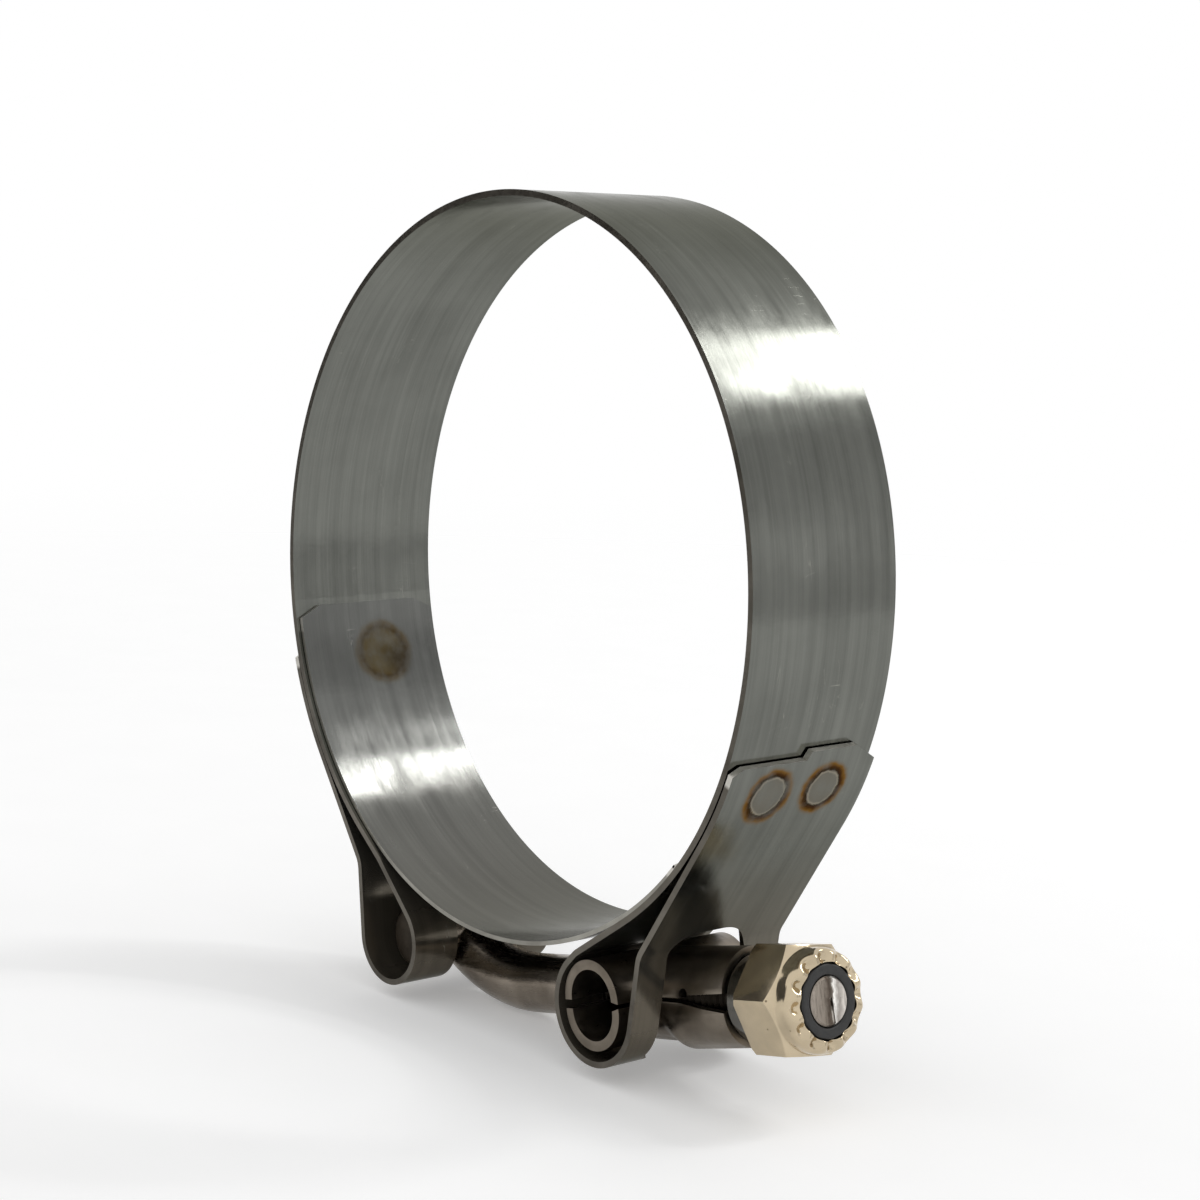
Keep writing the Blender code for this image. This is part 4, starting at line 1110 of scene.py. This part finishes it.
# The lock nut: turned and milled from hexagon bar, plated pale gold. Its crown is rolled over the
# nylon ring, and a row of staking dents holds the lip down.
NUT_START = 0.01445
NUT_LENGTH = BOLT_REACH - NUT_START
NUT_FLATS = 0.0106
NUT_TURN = radians(-8)
COLLAR_RADIUS = 0.00435
COLLAR_LENGTH = 0.00275
HEX_TOP = 0.0076
CROWN_RADIUS = 0.0051
CROWN_SHOULDER = 0.0087
LIP_RADIUS = 0.00372
LIP_LENGTH = 0.0003
POCKET_RADIUS = 0.00425
corner = NUT_FLATS / sqrt(3)
over = corner + 0.0003
pocket_floor = shank_end - NUT_START
lip_round = 0.0002
nut_profile = [(point.x, point.y) for point in
               arc(Vector((LIP_RADIUS + lip_round, NUT_LENGTH - lip_round)), lip_round, pi,
                   pi / 2, radians(22.5))]
nut_profile += [(0.001 * step / 20, NUT_LENGTH) for step in range(79, 83)]
dome_radius = CROWN_RADIUS - 0.00415
dome_height = NUT_LENGTH - CROWN_SHOULDER
nut_profile += [(CROWN_RADIUS - dome_radius + dome_radius * cos(radians(a)),
                 CROWN_SHOULDER + dome_height * sin(radians(a))) for a in range(90, -1, -6)]
nut_profile += [(CROWN_RADIUS, HEX_TOP + 0.0002), (CROWN_RADIUS + 0.00006, HEX_TOP + 0.00006),
                (CROWN_RADIUS + 0.0002, HEX_TOP), (over, HEX_TOP - 0.00063),
                (over, COLLAR_LENGTH + 0.0006), (corner - 0.0003, COLLAR_LENGTH),
                (COLLAR_RADIUS, COLLAR_LENGTH), (COLLAR_RADIUS, 0.00025),
                (COLLAR_RADIUS - 0.00025, 0), (SHANK_RADIUS + 0.0003, 0),
                (SHANK_RADIUS + 0.0003, pocket_floor), (POCKET_RADIUS, pocket_floor),
                (POCKET_RADIUS, NUT_LENGTH - LIP_LENGTH), (LIP_RADIUS, NUT_LENGTH - LIP_LENGTH)]
nut_profile.append(nut_profile[0])
nut_mesh = turned(nut_profile, 240)
prism = round_bar(corner, 2 * NUT_LENGTH, 6)
prism.transform(Matrix.Rotation(NUT_TURN, 4, "Z"))
nut_mesh = cut_or_joined(nut_mesh, [(prism, "INTERSECT")])


def staking_tree():
    """Nodes that press a ring of dents into the nut's rolled lip."""
    group, given = geometry_group("staking dents",
                                  [("Nut", "Geometry"), ("Dents", "Float"), ("Circle", "Float"),
                                   ("Width", "Float"), ("Depth", "Float"), ("Above", "Float"),
                                   ("Plating", "Material")], "Staked")

    def maths(operation, a, b=None):
        inputs = {0: a} if b is None else {0: a, 1: b}
        return shader_node(group, "ShaderNodeMath", inputs, operation=operation).outputs[0]

    where = shader_node(group, "GeometryNodeInputPosition").outputs[0]
    spot = shader_node(group, "ShaderNodeSeparateXYZ", {0: where}).outputs
    flat = shader_node(group, "ShaderNodeCombineXYZ", {"X": spot["X"], "Y": spot["Y"]}).outputs[0]
    radius = shader_node(group, "ShaderNodeVectorMath", {0: flat},
                         operation="LENGTH").outputs["Value"]
    angle = maths("MULTIPLY", maths("ARCTAN2", spot["Y"], spot["X"]), given["Dents"])
    swell = maths("POWER", maths("MULTIPLY", maths("ADD", maths("COSINE", angle), 1.0), 0.5), 1.1)
    off = maths("DIVIDE", maths("SUBTRACT", radius, given["Circle"]), given["Width"])
    fall = maths("EXPONENT", maths("MULTIPLY", maths("MULTIPLY", off, off), -1.0))
    sink = maths("MULTIPLY", maths("MULTIPLY", swell, fall), given["Depth"])
    inward = shader_node(group, "ShaderNodeVectorMath",
                         {0: shader_node(group, "ShaderNodeVectorMath", {0: flat},
                                         operation="NORMALIZE").outputs[0],
                          "Scale": maths("MULTIPLY", sink, -0.2)}, operation="SCALE").outputs[0]
    down = shader_node(group, "ShaderNodeCombineXYZ", {"Z": maths("MULTIPLY", sink, -1.0)})
    shift = shader_node(group, "ShaderNodeVectorMath", {0: inward, 1: down.outputs[0]},
                        operation="ADD").outputs[0]
    high = shader_node(group, "FunctionNodeCompare", {0: spot["Z"], 1: given["Above"]},
                       operation="GREATER_THAN").outputs[0]
    pressed = shader_node(group, "GeometryNodeSetPosition", {"Geometry": given["Nut"],
                                                             "Selection": high,
                                                             "Offset": shift})
    return handed_out(group, pressed.outputs[0], given["Plating"], "Staked")


def plated_steel(name, colour):
    """Bright pale gold plating: nearly a mirror, a little cloudy, with small nicks."""
    plate, tree, place = new_material(name)
    clouds = noise(tree, place, 330.0, 4.0)
    stretched = shader_node(tree, "ShaderNodeMapping", {"Vector": place,
                                                        "Rotation": (0.5, 0.3, 0.4),
                                                        "Scale": (0.15, 1, 1)}).outputs[0]
    lines = noise(tree, stretched, 1900.0)
    pits = shader_node(tree, "ShaderNodeTexVoronoi", {"Vector": place, "Scale": 620.0},
                       feature="F1").outputs["Distance"]
    tinted = ramp(tree, clouds, [(0.3, [c * 0.82 for c in colour]), (0.65, colour)])
    dark = (colour[0] * 0.25, colour[1] * 0.22, colour[2] * 0.18, 1)
    marked = blended(tree, spread(tree, pits, 0.03, 0.09), dark, tinted)
    bump = raised(tree, clouds, 0.4, 0.0001, raised(tree, lines, 0.25, 0.00001))
    turn = shader_node(tree, "ShaderNodeMapping", {"Vector": place, "Rotation": (0, BOLT_PITCH, 0)})
    along = shader_node(tree, "ShaderNodeSeparateXYZ", {0: turn.outputs[0]}).outputs["X"]
    base = barrel_centre.dot(bolt_along) + NUT_START + COLLAR_LENGTH
    shade = blended(tree, spread(tree, along, base - 0.0003, base - 0.0001),
                    (0.13, 0.125, 0.112, 1.0), marked)
    coat = shader_node(tree, "ShaderNodeBsdfPrincipled",
                       {"Base Color": shade, "Metallic": 1.0, "Normal": bump,
                        "Roughness": spread(tree, clouds, 0.3, 0.7, 0.10, 0.2)})
    surface(tree, coat)
    return plate


nut_plating = plated_steel("pale gold plating", (0.60, 0.50, 0.35))
worked = linked("nut", nut_mesh)
rounded(worked, 0.00008, 3, 24)
worked_by(worked, staking_tree(), {"Dents": 12.0, "Circle": 0.00428, "Width": 0.00052,
                                   "Depth": 0.0008, "Above": CROWN_SHOULDER + 0.0002,
                                   "Plating": nut_plating})
nut_mesh = taken(worked)
nut_mesh.transform(turned_frame(NUT_START))
nut = shown("hexagon_nut", nut_mesh, nut_plating, radians(40))
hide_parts("lock_nut")
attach(nut, "nut")

# The nylon ring: turned black nylon under the rolled lip. It is cut slightly undersize, so the
# bolt's tip has pressed its inner edge into a soft bead.
low = pocket_floor + 0.0002
high = NUT_LENGTH - 0.00012
inner = tip_radius + 0.00005
outer = POCKET_RADIUS - 0.0002
bead = LIP_RADIUS - 0.00015
ring_profile = [(point.x, point.y) for point in
                arc(Vector((inner + 0.0003, high - 0.0003)), 0.0003, pi, pi / 2, radians(15))]
ring_profile += [(point.x, point.y) for point in
                 arc(Vector((bead - 0.0002, high - 0.0002)), 0.0002, pi / 2, 0, radians(15))]
ring_profile += [(bead, low + 0.0006), (outer, low + 0.0006), (outer, low), (inner, low),
                 ring_profile[0]]
nylon, tree, place = new_material("black nylon")
grain = noise(tree, place, 1600.0)
colour = ramp(tree, grain, [(0.3, (0.008, 0.008, 0.008)), (0.7, (0.022, 0.022, 0.021))])
coat = shader_node(tree, "ShaderNodeBsdfPrincipled",
                   {"Base Color": colour, "Roughness": spread(tree, grain, 0.0, 1.0, 0.42, 0.62),
                    "Normal": raised(tree, grain, 0.4, 0.00004)})
surface(tree, coat)
nylon_mesh = turned(ring_profile, 96)
nylon_mesh.transform(turned_frame(NUT_START))
nylon_ring = shown("nylon_ring", nylon_mesh, nylon, radians(40))
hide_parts("nylon_insert")
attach(nylon_ring, "insert")
